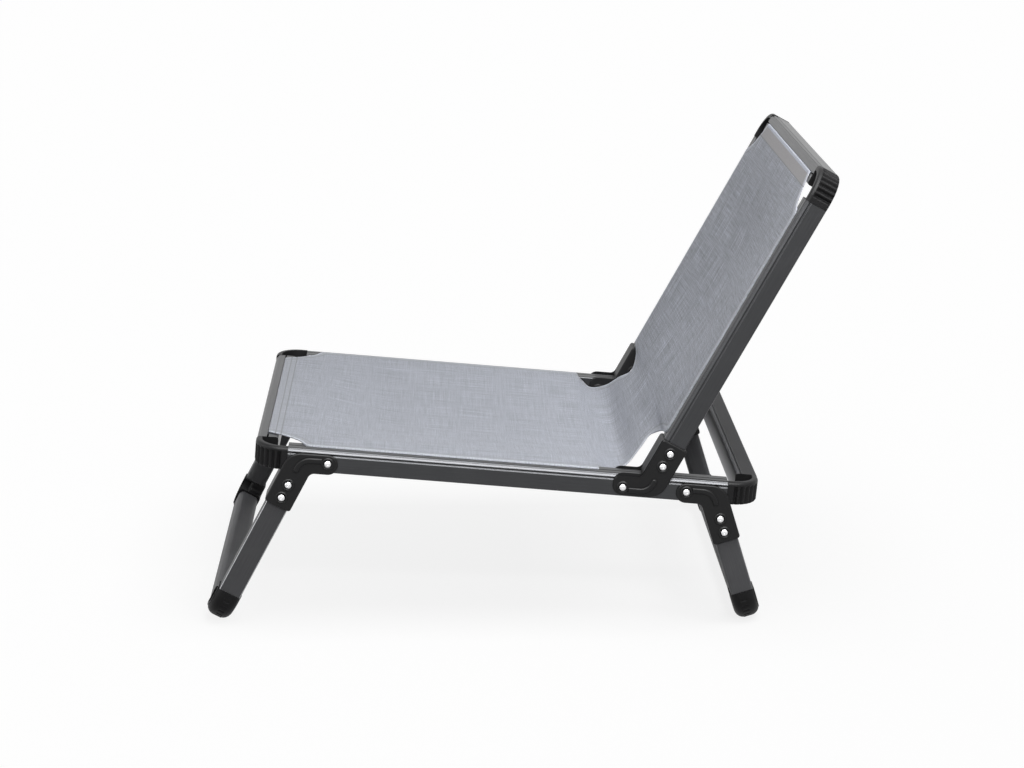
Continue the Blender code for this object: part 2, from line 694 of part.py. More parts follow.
def add_bend(seat, loose_seat, loose_back, hinge):
    """Free stretch of the sling at the hinge, curving from the seat panel to the back panel."""
    half = RAIL_LINE - HINGE_SCOOP
    seat_row = sheet_row(loose_seat + CLEAR, 0, half, SEAT_SAG)
    back_row = sheet_row(loose_back - CLEAR, -ARM_OFFSET, half, BACK_SAG)
    rise = hinge.to_3x3() @ Vector((BEND_STIFFNESS, 0, 0))
    run = Vector((BEND_STIFFNESS, 0, 0))
    rows = []
    for step in range(BEND_STEPS + 1):
        t = step / BEND_STEPS
        weights = (2 * t ** 3 - 3 * t ** 2 + 1, t ** 3 - 2 * t ** 2 + t, 3 * t ** 2 - 2 * t ** 3, t ** 3 - t ** 2)
        row = []
        for start, end in zip(seat_row, back_row):
            end = hinge @ Vector(end)
            row.append(weights[0] * Vector(start) + weights[1] * run + weights[2] * end + weights[3] * rise)
        rows.append(row)
    add_sheet("sling_bend", sheet_mesh("sling_bend", rows, 0, None, 0), seat)


def welt(name, first, last, parent):
    """Round rod in a slot, from one point to another."""
    first, last = Vector(first), Vector(last)
    bm = bmesh.new()
    turn = (last - first).to_track_quat("Z", "Y").to_matrix().to_4x4()
    matrix = Matrix.Translation((first + last) / 2) @ turn
    bmesh.ops.create_cone(bm, cap_ends=True, segments=ROUND_STEPS, radius1=WELT_RADIUS,
                          radius2=WELT_RADIUS, depth=(last - first).length, matrix=matrix)
    return add_part(name, finish_mesh(bm, name), WELT, parent)


# Assembly

clear_scene()
PARTS = new_collection("folding_lounge_chair")
CUTTERS = new_collection("cutters")
ALUMINIUM = new_material("dark_aluminium", (0.16, 0.165, 0.17), 0.42, 0.8)
PLASTIC = new_material("black_plastic", (0.022, 0.022, 0.024), 0.45, 0.0)
STEEL = new_material("bright_steel", (0.62, 0.62, 0.63), 0.25, 1.0)
MESH_CLOTH = new_material("grey_mesh_cloth", (0.2, 0.2, 0.205), 0.8, 0.0)
WELT = new_material("black_welt", (0.02, 0.02, 0.02), 0.6, 0.0)

BACK_ARM = Arm(BACK_ANGLE, ABOVE_PIVOT, BACK_STOPS_SHORT)
FRONT_ARM = Arm(FRONT_LEG_ANGLE, PIVOT_ABOVE_UNDERSIDE, 0.0)
REAR_ARM = Arm(REAR_LEG_ANGLE, PIVOT_ABOVE_UNDERSIDE, 0.0)
GRIP_END = BACK_ARM.tube_start + GRIP_LENGTH

AXIS_HEIGHT = SEAT_FRONT_HEIGHT - HALF_DEPTH * math.cos(SEAT_TILT)
SEAT_PLACE = Matrix.Translation((0, 0, AXIS_HEIGHT)) @ Matrix.Rotation(SEAT_TILT, 4, "Y")
BACK_HINGE = Matrix.Translation((BACK_PIVOT, 0, PIVOT_Z)) @ Matrix.Rotation(-BACK_ARM.lean, 4, "Y")
FRONT_HINGE = Matrix.Translation((FRONT_PIVOT, 0, PIVOT_Z)) @ Matrix.Rotation(FRONT_LEG_ANGLE, 4, "Y")
REAR_TURN = Matrix.Rotation(REAR_ARM.lean, 4, "Y") @ Matrix.Rotation(math.pi, 4, "X")
REAR_HINGE = Matrix.Translation((REAR_PIVOT, 0, PIVOT_Z)) @ REAR_TURN

floor_bm = bmesh.new()
bmesh.ops.create_cube(floor_bm, size=FAR, matrix=Matrix.Translation((0, 0, -FAR / 2)))
bmesh.ops.scale(floor_bm, vec=(4, 1, 1), verts=floor_bm.verts)
FLOOR = add_cutter("floor", finish_mesh(floor_bm, "floor"), None)

root = new_empty("chair", None, Matrix())
seat = new_empty("seat", root, SEAT_PLACE)
back = new_empty("back_hinge", seat, BACK_HINGE)
front_leg = new_empty("front_leg_hinge", seat, FRONT_HINGE)
rear_leg = new_empty("rear_leg_hinge", seat, REAR_HINGE)

seat_frame(seat)
swinging_frame("back", BACK_ARM, {"side": "back_rail", "corner": "back_corner", "cross": "back_top_tube"},
               BACK_LENGTH, slotted_outlines(), slotted_cavity(), True, back, False)
for prefix, arm, hinge, empty, mirrored in (
        ("front_leg", FRONT_ARM, FRONT_HINGE, front_leg, False),
        ("rear_leg", REAR_ARM, REAR_HINGE, rear_leg, True)):
    leg_names = {"side": f"{prefix}_tube", "corner": f"{prefix}_foot", "cross": f"{prefix}_crossbar"}
    swinging_frame(prefix, arm, leg_names, leg_length(hinge), plain_outlines(), plain_cavity(), False,
                   empty, mirrored)

loose_seat_end = BACK_PIVOT - SEAT_HOLD_GAP
welt("seat_welt_front", *add_panel("seat_sling", HALF_TUBE, loose_seat_end, 0, SEAT_SAG, seat), seat)
top_slot = BACK_LENGTH - HALF_TUBE
welt("back_welt_top", *add_panel("back_sling", top_slot, BACK_HOLD_START, -ARM_OFFSET, BACK_SAG, back), back)
add_bend(seat, loose_seat_end, BACK_HOLD_START, BACK_HINGE)

# The chair stands centred over the origin
bpy.context.view_layer.update()
corners = []
for part in PARTS.objects:
    if part.type == "MESH":
        evaluated = part.evaluated_get(bpy.context.evaluated_depsgraph_get())
        corners += [evaluated.matrix_world @ Vector(corner) for corner in evaluated.bound_box]
root.location.x = -(min(corner.x for corner in corners) + max(corner.x for corner in corners)) / 2
bpy.context.view_layer.update()
for empty in (back, front_leg, rear_leg):
    print(empty.name, [round(value, 5) for value in empty.matrix_world.translation])
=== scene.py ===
# %% [markdown]
# # A folding lounge chair, dressed for its picture
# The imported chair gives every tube, bracket and hinge its place. This lesson keeps those places and gives
# each piece the finish that the photo shows: satin tube, matt moulded corners, bright rivets and one
# stretched mesh sling. Everything is in metres, +X points to the rear and -Y is the near side.

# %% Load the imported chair
import json
import math

import bmesh
import bpy
from mathutils import Matrix, Vector, kdtree

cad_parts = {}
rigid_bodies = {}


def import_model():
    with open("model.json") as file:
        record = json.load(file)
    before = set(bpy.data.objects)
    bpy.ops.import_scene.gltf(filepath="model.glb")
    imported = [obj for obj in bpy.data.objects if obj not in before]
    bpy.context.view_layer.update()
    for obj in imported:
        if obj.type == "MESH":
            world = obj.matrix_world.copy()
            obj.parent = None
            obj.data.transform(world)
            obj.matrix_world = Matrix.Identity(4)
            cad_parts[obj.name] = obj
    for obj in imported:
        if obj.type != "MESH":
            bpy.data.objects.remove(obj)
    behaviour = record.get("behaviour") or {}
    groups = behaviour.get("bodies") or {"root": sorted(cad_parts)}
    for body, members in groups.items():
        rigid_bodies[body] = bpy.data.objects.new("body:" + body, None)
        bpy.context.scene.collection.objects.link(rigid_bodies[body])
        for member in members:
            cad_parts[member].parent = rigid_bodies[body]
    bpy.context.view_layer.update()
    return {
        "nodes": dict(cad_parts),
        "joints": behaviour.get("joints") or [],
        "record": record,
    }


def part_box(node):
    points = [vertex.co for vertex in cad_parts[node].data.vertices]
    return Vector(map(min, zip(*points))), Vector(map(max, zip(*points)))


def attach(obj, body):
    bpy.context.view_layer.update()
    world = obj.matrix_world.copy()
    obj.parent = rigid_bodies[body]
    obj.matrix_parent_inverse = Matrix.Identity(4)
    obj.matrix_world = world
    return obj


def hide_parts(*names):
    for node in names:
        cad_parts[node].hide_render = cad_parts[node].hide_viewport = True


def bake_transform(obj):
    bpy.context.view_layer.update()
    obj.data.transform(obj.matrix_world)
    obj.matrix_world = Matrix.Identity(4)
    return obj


for leftover in list(bpy.data.objects):
    bpy.data.objects.remove(leftover, do_unlink=True)
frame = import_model()

# %% [markdown]
# ## Object helpers
# Blender shows an object only when it is linked to a collection, and a shape drawn with bmesh has to be
# written to mesh data first.

# %% Object helpers
scene = bpy.context.scene


def link_object(name, data):
    made = bpy.data.objects.new(name, data)
    scene.collection.objects.link(made)
    return made


def mesh_from(name, bm):
    mesh = bpy.data.meshes.new(name)
    bm.to_mesh(mesh)
    bm.free()
    return mesh


def of_kind(geometry, kind):
    """The vertices or the edges among what a bmesh operator gives back."""
    return [item for item in geometry if isinstance(item, kind)]


print("objects go to", scene.collection.name)

# %% [markdown]
# ## Sizes and frames
# Each swinging frame has its own axes at its hinge: X runs along its tubes and Z faces the side that folds
# onto the seat. Working in these axes keeps every shape square to its own tube.

# %% Sizes of the frames
MM = 0.001
WIDTH, SEAT_LENGTH, BACK_LENGTH = 0.580, 0.746, 0.546
TUBE, DEPTH = 0.032, 0.034
HALF, HALF_DEPTH = TUBE / 2, DEPTH / 2
RAIL_LINE = WIDTH / 2 - HALF
FRONT_PIVOT_X, PIVOT_Z, ARM_OFFSET = 0.1083, -0.002, 0.0365
TILT = math.radians(4.7)
LEAN = {"back": math.radians(180 - 113.7), "front_leg": math.radians(67.0), "rear_leg": math.radians(67.7)}
hinge = {joint["child"]: Vector(joint["pos_m"]) for joint in frame["joints"]}


def turn_y(angle):
    return Matrix.Rotation(angle, 4, "Y")


place = {
    "seat": Matrix.Translation(hinge["front_leg"]) @ turn_y(TILT)
    @ Matrix.Translation((-FRONT_PIVOT_X, 0, -PIVOT_Z)),
    "back": Matrix.Translation(hinge["back"]) @ turn_y(TILT - LEAN["back"]),
    "front_leg": Matrix.Translation(hinge["front_leg"]) @ turn_y(TILT + math.pi - LEAN["front_leg"]),
    "rear_leg": Matrix.Translation(hinge["rear_leg"]) @ turn_y(TILT + LEAN["rear_leg"])
    @ Matrix.Rotation(math.pi, 4, "X"),
}
print("hinges", {name: tuple(round(v, 4) for v in point) for name, point in hinge.items()})

# %% [markdown]
# ## Camera
# The photo was taken a little above the seat, from the chair's left side and almost square to it. A long
# lens from about four metres gives the same weak perspective.

# %% Camera
YAW, PITCH, ROLL = math.radians(2.018), math.radians(15.073), math.radians(0.585)
CAMERA_SPOT, SENSOR_MM = (-0.1273, -3.6758, 1.2836), 36.0
FOCAL_PIXELS, PICTURE_PIXELS = 2418.2, 1024
level = Vector((math.sin(YAW), math.cos(YAW), 0))
across = Vector((math.cos(YAW), -math.sin(YAW), 0))
ahead = level * math.cos(PITCH) - Vector((0, 0, math.sin(PITCH)))
above = level * math.sin(PITCH) + Vector((0, 0, math.cos(PITCH)))
right = across * math.cos(ROLL) + above * math.sin(ROLL)
upward = above * math.cos(ROLL) - across * math.sin(ROLL)
camera_data = bpy.data.cameras.new("studio_camera")
camera_data.sensor_width = SENSOR_MM
camera_data.lens = FOCAL_PIXELS / PICTURE_PIXELS * SENSOR_MM
camera = link_object("studio_camera", camera_data)
camera.matrix_world = (Matrix.Translation(CAMERA_SPOT)
                       @ Matrix((right, upward, -ahead)).transposed().to_4x4())
scene.camera = camera
print("lens", round(camera_data.lens, 1), "mm")

# %% [markdown]
# ## Node helpers
# A procedural finish is a small graph. A socket takes a constant or the output of another node, so one
# helper adds a node and sets or links its sockets in one line. Each material then reads as a short list of
# steps.

# %% Node helpers
FLOAT, VECTOR = "NodeSocketFloat", "NodeSocketVector"


def connect(tree, node, inputs):
    for key, value in inputs.items():
        socket = node.inputs[key]
        if isinstance(value, bpy.types.NodeSocket):
            tree.links.new(value, socket)
        else:
            socket.default_value = (*value, 1.0) if socket.type == "RGBA" else value


def add_node(tree, kind, inputs=None, **settings):
    node = tree.nodes.new("ShaderNode" + kind)
    for key, value in settings.items():
        setattr(node, key, value)
    connect(tree, node, inputs or {})
    return node


def new_group(name, inputs, outputs):
    tree = bpy.data.node_groups.new(name, "ShaderNodeTree")
    for label, kind in inputs:
        tree.interface.new_socket(label, in_out="INPUT", socket_type=kind)
    for label, kind in outputs:
        tree.interface.new_socket(label, in_out="OUTPUT", socket_type=kind)
    return tree, tree.nodes.new("NodeGroupInput"), tree.nodes.new("NodeGroupOutput")


def new_material(name):
    material = bpy.data.materials.new(name)
    material.use_nodes = True
    return material, material.node_tree, material.node_tree.nodes["Principled BSDF"]


print("node helpers ready")

# %% [markdown]
# ## Sums and mixtures
# Most steps of a finish are sums on numbers or mixtures of two colours, so each of these becomes one short
# call.

# %% Sums and mixtures


def maths(tree, operation, *values, clamp=False):
    inputs = dict(enumerate(values))
    return add_node(tree, "Math", inputs, operation=operation, use_clamp=clamp).outputs[0]


def blended(tree, share, first, second):
    """The first colour, turning into the second as the share goes from 0 to 1."""
    return add_node(tree, "Mix", {0: share, 6: first, 7: second}, data_type="RGBA").outputs[2]


def toned(tree, colour, tones):
    """A colour multiplied by one or more tones."""
    total = tones[0]
    for extra in tones[1:]:
        total = maths(tree, "MULTIPLY", total, extra)
    return add_node(tree, "VectorMath", {0: colour, 1: total}, operation="MULTIPLY").outputs[0]


def add_bump(tree, shader, height, distance, strength):
    bump = add_node(tree, "Bump", {"Distance": distance, "Strength": strength, "Height": height})
    connect(tree, shader, {"Normal": bump.outputs["Normal"]})


print("sums and mixtures ready")

# %% [markdown]
# ## Shared surface grain
# Coated tube, moulded plastic and steel all carry a fine random grain that breaks up their gloss. It is one
# noise with its own scale in each material, so it lives in a group: the group gives a tone that multiplies
# the colour, and a height for the bump and the roughness.

# %% Grain group
grain_tree, grain_in, grain_out = new_group(
    "surface grain", [("Vector", VECTOR), ("Scale", FLOAT), ("Spread", FLOAT)],
    [("Tone", FLOAT), ("Height", FLOAT)])
speckle = add_node(grain_tree, "TexNoise", {
    "Detail": 5.0, "Roughness": 0.6, "Vector": grain_in.outputs["Vector"], "Scale": grain_in.outputs["Scale"]})
centred = maths(grain_tree, "SUBTRACT", speckle.outputs["Fac"], 0.5)
tone = maths(grain_tree, "MULTIPLY_ADD", centred, grain_in.outputs["Spread"], 1.0)
connect(grain_tree, grain_out, {"Tone": tone, "Height": speckle.outputs["Fac"]})


def add_grain(tree, vector, scale, spread):
    return add_node(tree, "Group", {"Scale": scale, "Spread": spread, "Vector": vector},
                    node_tree=grain_tree)


print("grain group", [item.name for item in grain_tree.interface.items_tree])

# %% [markdown]
# ## Dark coated tube
# The tube looks like extruded aluminium with a dark satin skin. Extrusion leaves faint lines along a tube,
# so the noise is stretched along the tube's own axis, which each piece carries as an attribute. In the
# photo the legs and the rear tube look duller than the rails, so one function makes all three finishes.
# Where the section carries a painted highlight, the surface turns paler, smoother and more metallic: a bright
# line painted along that edge in place of the lamps' reflection.

# %% Tube materials
LINE_STRETCH, LINE_ROUGHNESS, HIGHLIGHT_SMOOTHING = (0.02, 1.0, 1.0), 0.16, 0.10


def tube_finish(name, colour, highlight_colour, metallic, gloss, roughest):
    """Satin tube with lines and a painted highlight; gloss is the specular level, roughest the upper roughness.
    """
    material, tree, shader = new_material(name)
    run = add_node(tree, "Attribute", attribute_name="along_tube").outputs["Vector"]
    stretched = add_node(tree, "Mapping", {"Scale": LINE_STRETCH, "Vector": run}).outputs[0]
    lines = add_grain(tree, stretched, scale=900.0, spread=0.5)
    patches = add_grain(tree, run, scale=18.0, spread=0.35)
    coat = toned(tree, colour, [lines.outputs["Tone"], patches.outputs["Tone"]])
    # Painted highlight: where a section carries one, the colour turns paler and more metallic, standing for a
    # lamp's reflection.
    painted_highlight = add_node(tree, "Attribute", attribute_name="painted_highlight").outputs["Fac"]
    rough = maths(tree, "MULTIPLY_ADD", lines.outputs["Height"], LINE_ROUGHNESS, roughest - LINE_ROUGHNESS)
    smoother = maths(tree, "MULTIPLY", painted_highlight, HIGHLIGHT_SMOOTHING)
    highlight_metallic = maths(tree, "MULTIPLY_ADD", painted_highlight, 1.0 - metallic, metallic)
    connect(tree, shader, {"Base Color": blended(tree, painted_highlight, coat, highlight_colour), "Metallic": highlight_metallic,
                           "Roughness": maths(tree, "SUBTRACT", rough, smoother),
                           "Specular IOR Level": gloss})
    add_bump(tree, shader, lines.outputs["Height"], distance=0.00005, strength=0.5)
    return material


# The highlight colours paint the bright lines of reflection along the shoulders and corners.
ALUMINIUM = tube_finish("dark anodised tube", colour=(0.052, 0.053, 0.056), highlight_colour=(0.27, 0.275, 0.29),
                        metallic=0.75, gloss=0.5, roughest=0.42)
LEG_TUBE = tube_finish("dark coated leg tube", colour=(0.148, 0.149, 0.156), highlight_colour=(0.92, 0.93, 0.95),
                       metallic=0.0, gloss=0.12, roughest=0.56)
REAR_TUBE = tube_finish("dark coated rear tube", colour=(0.046, 0.046, 0.049), highlight_colour=(0.75, 0.75, 0.79),
                        metallic=0.1, gloss=0.13, roughest=0.62)
print("made", ALUMINIUM.name, LEG_TUBE.name, REAR_TUBE.name)

# %% [markdown]
# ## Matt moulded plastic
# Corner connectors, feet and brackets look like black moulded plastic with a fine grain. The grain is tiny,
# so most of it is bump and roughness; the colour only drifts a little from place to place. In the photo the
# brackets look smoothest and the feet dullest, so one function makes three finishes.

# %% Plastic materials
MOULD_ROUGHNESS = 0.15


def plastic_finish(name, colour, smoothest, gloss):
    """Black plastic with a moulded grain; smoothest is the lowest roughness and gloss the specular level."""
    material, tree, shader = new_material(name)
    spot = add_node(tree, "TexCoord").outputs["Object"]
    fine = add_grain(tree, spot, scale=1400.0, spread=0.5)
    broad = add_grain(tree, spot, scale=35.0, spread=0.5)
    rough = maths(tree, "MULTIPLY_ADD", fine.outputs["Height"], MOULD_ROUGHNESS, smoothest)
    coat = toned(tree, colour, [fine.outputs["Tone"], broad.outputs["Tone"]])
    connect(tree, shader, {"Base Color": coat, "Roughness": rough, "Specular IOR Level": gloss})
    add_bump(tree, shader, fine.outputs["Height"], distance=0.00012, strength=0.35)
    return material


PLASTIC = plastic_finish("smooth black plastic", (0.0092, 0.0092, 0.0099), smoothest=0.37, gloss=0.22)
# Painted light: the corners take a paler copy of the black plastic, so that the lands of their flutes look lit;
# their gloss and roughness are their own finish.
CORNER_PLASTIC = plastic_finish("matt black plastic", (0.0180, 0.0178, 0.0188), smoothest=0.36, gloss=0.15)
FOOT_PLASTIC = plastic_finish("worn black plastic", (0.0160, 0.0160, 0.0168), smoothest=0.44, gloss=0.10)
print("made", PLASTIC.name, CORNER_PLASTIC.name, FOOT_PLASTIC.name)

# %% [markdown]
# ## Bright rivet steel
# Rivet heads look like bright steel. A mirror finish would look like chrome, so a fine grain in the
# roughness and less than full metal keep their shine soft.

# %% Steel material
STEEL_COLOUR, STEEL_ROUGHNESS, STEEL_SMOOTHEST = (0.93, 0.93, 0.94), 0.25, 0.16
STEEL, tree, shader = new_material("bright rivet steel")
spot = add_node(tree, "TexCoord").outputs["Object"]
fine = add_grain(tree, spot, scale=2200.0, spread=0.3)
rough = maths(tree, "MULTIPLY_ADD", fine.outputs["Height"], STEEL_ROUGHNESS, STEEL_SMOOTHEST)
coat = toned(tree, STEEL_COLOUR, [fine.outputs["Tone"]])
connect(tree, shader, {"Base Color": coat, "Roughness": rough, "Metallic": 0.6})
add_bump(tree, shader, fine.outputs["Height"], distance=0.00004, strength=0.4)
print("made", STEEL.name)

# %% [markdown]
# ## Finishing a hard piece
# Edges are rounded where each piece is drawn, so no bevel is needed here. A weighted normal keeps the flats
# flat and leaves the shading to those rounded edges. Each point also keeps its place in its own frame, for
# the lines along the tubes.

# %% Finishing helper


def finish_piece(name, bm, material, body, nodes, sharp):
    mesh = mesh_from(name, bm)
    mesh.materials.clear()
    mesh.materials.append(material)
    mesh.shade_smooth()
    mesh.set_sharp_from_angle(angle=math.radians(sharp))
    run = mesh.attributes.new("along_tube", "FLOAT_VECTOR", "POINT")
    to_local = place[body].inverted()
    for item, vert in zip(run.data, mesh.vertices):
        item.vector = to_local @ vert.co
    piece = link_object(name, mesh)
    piece.modifiers.new("flat faces stay flat", "WEIGHTED_NORMAL").keep_sharp = True
    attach(piece, body)
    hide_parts(*nodes)
    return piece


body_of_node = {node: body for body, nodes in frame["record"]["behaviour"]["bodies"].items() for node in nodes}
print("finishing helper ready for", len(body_of_node), "nodes")

# %% [markdown]
# ## Outline helpers
# Tubes, brackets and connectors are drawn as flat outlines with rounded corners. A corner is given as a
# point and a radius, and the helper replaces it with an arc that touches both sides.

# %% Outline helpers


def arc(centre_x, centre_y, radius, start, end, steps):
    angles = [math.radians(start + (end - start) * step / steps) for step in range(steps + 1)]
    return [(centre_x + radius * math.cos(angle), centre_y + radius * math.sin(angle)) for angle in angles]


def rounded(corners, steps):
    points = []
    for index, (x, y, radius) in enumerate(corners):
        if radius == 0:
            points.append((x, y))
            continue
        here = Vector((x, y))
        before = (Vector(corners[index - 1][:2]) - here).normalized()
        after = (Vector(corners[(index + 1) % len(corners)][:2]) - here).normalized()
        half_angle = before.angle(after) / 2
        middle = here + (before + after).normalized() * radius / math.sin(half_angle)
        first = here + before * radius / math.tan(half_angle) - middle
        last = here + after * radius / math.tan(half_angle) - middle
        start = math.degrees(math.atan2(first.y, first.x))
        swing = (math.degrees(math.atan2(last.y, last.x)) - start + 180) % 360 - 180
        points += arc(middle.x, middle.y, radius, start, start + swing, steps)
    return points


print("square with round corners", len(rounded([(0, 0, 1), (4, 0, 1), (4, 4, 1), (0, 4, 1)], 6)), "points")

# %% [markdown]
# ## Tube sections
# Rails, front tube and top tube are one section: a square tube with a round keyhole slot for the sling's
# welt, and on its outer corner a broad shoulder above a narrow trim groove. The rear tube has the same
# shoulder but no slot, and the legs are plain. Only the front legs get a strong painted highlight along
# their outer corners. Each section is a list of points in millimetres, and each point also carries its share
# of painted highlight.

# %% Tube sections
SIDE, FACE = 16.0, 17.0
SLOT, BORE, SLOT_LIP, EDGE, LEG_EDGE = 1.2, 4.2, 2.2, 3.0, 8.0
EDGE_STEPS, BORE_STEPS, LEG_STEPS = 5, 14, 6
# Shares of painted highlight: faint on the rail shoulders, stronger on the rear tube's shoulder, and a painted
# reflection on the rear tube's inner face.
RAIL_HIGHLIGHT, REAR_HIGHLIGHT, REAR_INNER_REFLECTION = 0.06, 0.20, 0.5
# Painted highlight along the legs' outer corners, strong on the front legs only.
LEG_HIGHLIGHT = {"front": 0.75, "rear": 0.15}
INNER_LINE, LEG_LINE, LEG_FACE = -15.5, 14.5, 15.5
# The third number of each trim point is its share of painted highlight.
TRIM = [(16.0, 6.6, 0.0), (16.0, 7.3, 0.5), (15.75, 7.75, 1.0), (15.35, 8.05, 0.5), (14.8, 8.3, 0.0),
        (14.3, 9.2, 0.0), (14.6, 10.3, 0.0), (15.4, 11.1, 0.3)]
TRIM += [(x, y, 1.0) for x, y in arc(0.97, 3.61, radius=16.8, start=29.5, end=40, steps=4)]
TRIM += [(13.5, 14.35, 0.0), (13.2, 14.3, 0.0), (13.0, 14.6, 0.0), (12.8, 15.2, 0.0), (12.5, 15.8, 0.0),
         (12.0, 16.3, 0.0), (10.6, 16.75, 0.0), (9.0, 17.0, 0.0)]


def without_highlight(points):
    return [(x, y, 0.0) for x, y in points]


def slotted_section():
    mouth = math.degrees(math.asin(SLOT / BORE))
    bore_centre = FACE - SLOT_LIP - math.sqrt(BORE ** 2 - SLOT ** 2)
    points = without_highlight(arc(EDGE - SIDE, EDGE - FACE, EDGE, 180, 270, EDGE_STEPS)
                  + arc(SIDE - EDGE, EDGE - FACE, EDGE, 270, 360, EDGE_STEPS))
    points += [(x, y, RAIL_HIGHLIGHT * painted_highlight) for x, y, painted_highlight in TRIM]
    bore = arc(0, bore_centre, BORE, 90 - mouth, mouth - 270, BORE_STEPS)
    points += without_highlight([(SLOT, FACE)] + bore + [(-SLOT, FACE)])
    return points + without_highlight(arc(EDGE - SIDE, FACE - EDGE, EDGE, 90, 180, EDGE_STEPS))


def shouldered_section():
    shift = FACE - SIDE
    # Painted reflection along the rear tube's inner face.
    points = [(x, y, REAR_INNER_REFLECTION * (x < INNER_LINE))
              for x, y in arc(EDGE - SIDE, EDGE - FACE, EDGE, 180, 270, EDGE_STEPS)]
    points += without_highlight(arc(SIDE - EDGE, EDGE - FACE, EDGE, 270, 360, EDGE_STEPS)
                   + arc(SIDE - EDGE, FACE - EDGE, EDGE, 0, 90, EDGE_STEPS))
    return points + [(shift - y, x + shift, REAR_HIGHLIGHT * painted_highlight) for x, y, painted_highlight in TRIM]


def plain_section(outer_edge, highlight_share):
    points = rounded([(-SIDE, -FACE, LEG_EDGE), (SIDE, -FACE, outer_edge), (SIDE, FACE, outer_edge),
                      (-SIDE, FACE, LEG_EDGE)], LEG_STEPS)
    # Painted highlight along the outer corners of a leg.
    return [(x, y, highlight_share * (x > LEG_LINE and abs(y) > LEG_FACE)) for x, y in points]


print("points in the slotted section", len(slotted_section()))

# %% [markdown]
# ## Drawing the tubes out
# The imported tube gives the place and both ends. Its section stands square to its own frame, with the first
# axis out of the chair and the second towards the side that folds, and is pushed out along the tube.

# %% Tubes


def tube(node):
    body = body_of_node[node]
    local = [place[body].inverted() @ vert.co for vert in frame["nodes"][node].data.vertices]
    low, high = (Vector([pick(point[axis] for point in local) for axis in range(3)]) for pick in (min, max))
    middle, lengthways = (low + high) / 2, "_rail_" in node or "_tube_" in node
    if body.endswith("leg"):
        highlight_share = LEG_HIGHLIGHT[node.split("_")[0]]
        section, material = plain_section(EDGE if lengthways else LEG_EDGE, highlight_share), LEG_TUBE
    elif node == "seat_rear_tube":
        section, material = shouldered_section(), REAR_TUBE
    else:
        section, material = slotted_section(), ALUMINIUM
    if lengthways:
        outward = Vector((0, math.copysign(1, middle.y), 0))
        run, half = Vector((1, 0, 0)), (high.x - low.x) / 2
    else:
        outward = Vector((-1 if node == "seat_front_tube" else 1, 0, 0))
        run, half = Vector((0, 1, 0)), (high.y - low.y) / 2
    bm = bmesh.new()
    # Each point carries its share of painted highlight for the tube material.
    painted_highlight_layer = bm.verts.layers.float.new("painted_highlight")
    ring = []
    for x, y, painted_highlight in section:
        ring.append(bm.verts.new(middle - run * half + outward * x * MM + Vector((0, 0, y * MM))))
        ring[-1][painted_highlight_layer] = painted_highlight
    drawn = bmesh.ops.extrude_face_region(bm, geom=[bm.faces.new(ring)])["geom"]
    bmesh.ops.translate(bm, vec=2 * half * run, verts=of_kind(drawn, bmesh.types.BMVert))
    bmesh.ops.transform(bm, matrix=place[body], verts=bm.verts)
    bmesh.ops.recalc_face_normals(bm, faces=bm.faces)
    made = finish_piece("satin_" + node, bm, material, body, [node], sharp=50.0)
    if not lengthways:
        for item in made.data.attributes["along_tube"].data:
            item.vector = (item.vector.y, item.vector.x, item.vector.z)
    return made


tubes = [tube(node) for node in frame["nodes"]
         if any(word in node for word in ("_rail_", "_tube", "crossbar"))]
print("tubes", len(tubes), "points on the first", len(tubes[0].data.vertices))

# %% [markdown]
# ## Rivets
# Each rivet is a turned shape: a low dome with a small sunk centre, and a rim that sits on the bracket.
# Half of the outline is drawn once in millimetres, mirrored and spun about the rivet's axis.

# %% Rivets
HEAD = [(0.0, 1.5), (1.0, 1.5), (1.3, 2.15), (2.2, 2.2), (3.4, 1.75), (4.4, 0.95), (4.95, 0.25), (4.8, 0.0),
        (2.5, 0.0)]
RIVET_HALF, HEAD_STEPS, MERGE = 20.9, 28, 0.00001


def rivet(node):
    low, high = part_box(node)
    middle = (low + high) / 2
    bm = bmesh.new()
    half = [Vector((x * MM, (RIVET_HALF + z) * MM, 0)) for x, z in HEAD]
    outline = half + [Vector((point.x, -point.y, 0)) for point in reversed(half)]
    verts = [bm.verts.new(point) for point in outline]
    edges = [bm.edges.new(pair) for pair in zip(verts, verts[1:])]
    bmesh.ops.spin(bm, geom=verts + edges, axis=(0, 1, 0), cent=(0, 0, 0), angle=math.tau,
                   steps=HEAD_STEPS, use_merge=True)
    bmesh.ops.remove_doubles(bm, verts=bm.verts, dist=MERGE)
    bmesh.ops.recalc_face_normals(bm, faces=bm.faces)
    bmesh.ops.translate(bm, verts=bm.verts, vec=middle)
    return finish_piece("bright_" + node, bm, STEEL, body_of_node[node], [node], sharp=60.0)


rivets = [rivet(node) for node in frame["nodes"] if "_rivet_" in node]
print("rivets", len(rivets))

# %% [markdown]
# ## Section of the connectors
# Every corner and foot is one moulded elbow. Its outer wall carries upright flutes between two smooth rims,
# and the face towards the sling is sunk. Both are easier to press into a plain bend than to draw, so each
# point of the section has a tag for the wall that is fluted or the face that is sunk.

# %% Connector section
BEND, RIM, LEDGE, LEDGE_DROP, INNER_EDGE = 0.025, 0.009, 0.0012, 0.0002, 0.004
WALL_ROWS, WALL_START, WALL_STOP = 12, 0.8, 1.1
CORNER = {"reach": 0.0003, "proud": 0.0003, "back_edge": 0.004, "edge": 0.005, "turned": 1,
          "depth": 0.0042, "sharpness": 1.1}
FOOT = {"reach": 0.0030, "proud": 0.0018, "back_edge": 0.0145, "edge": 0.0135, "turned": -1,
        "depth": 0.0011, "sharpness": 5.0}


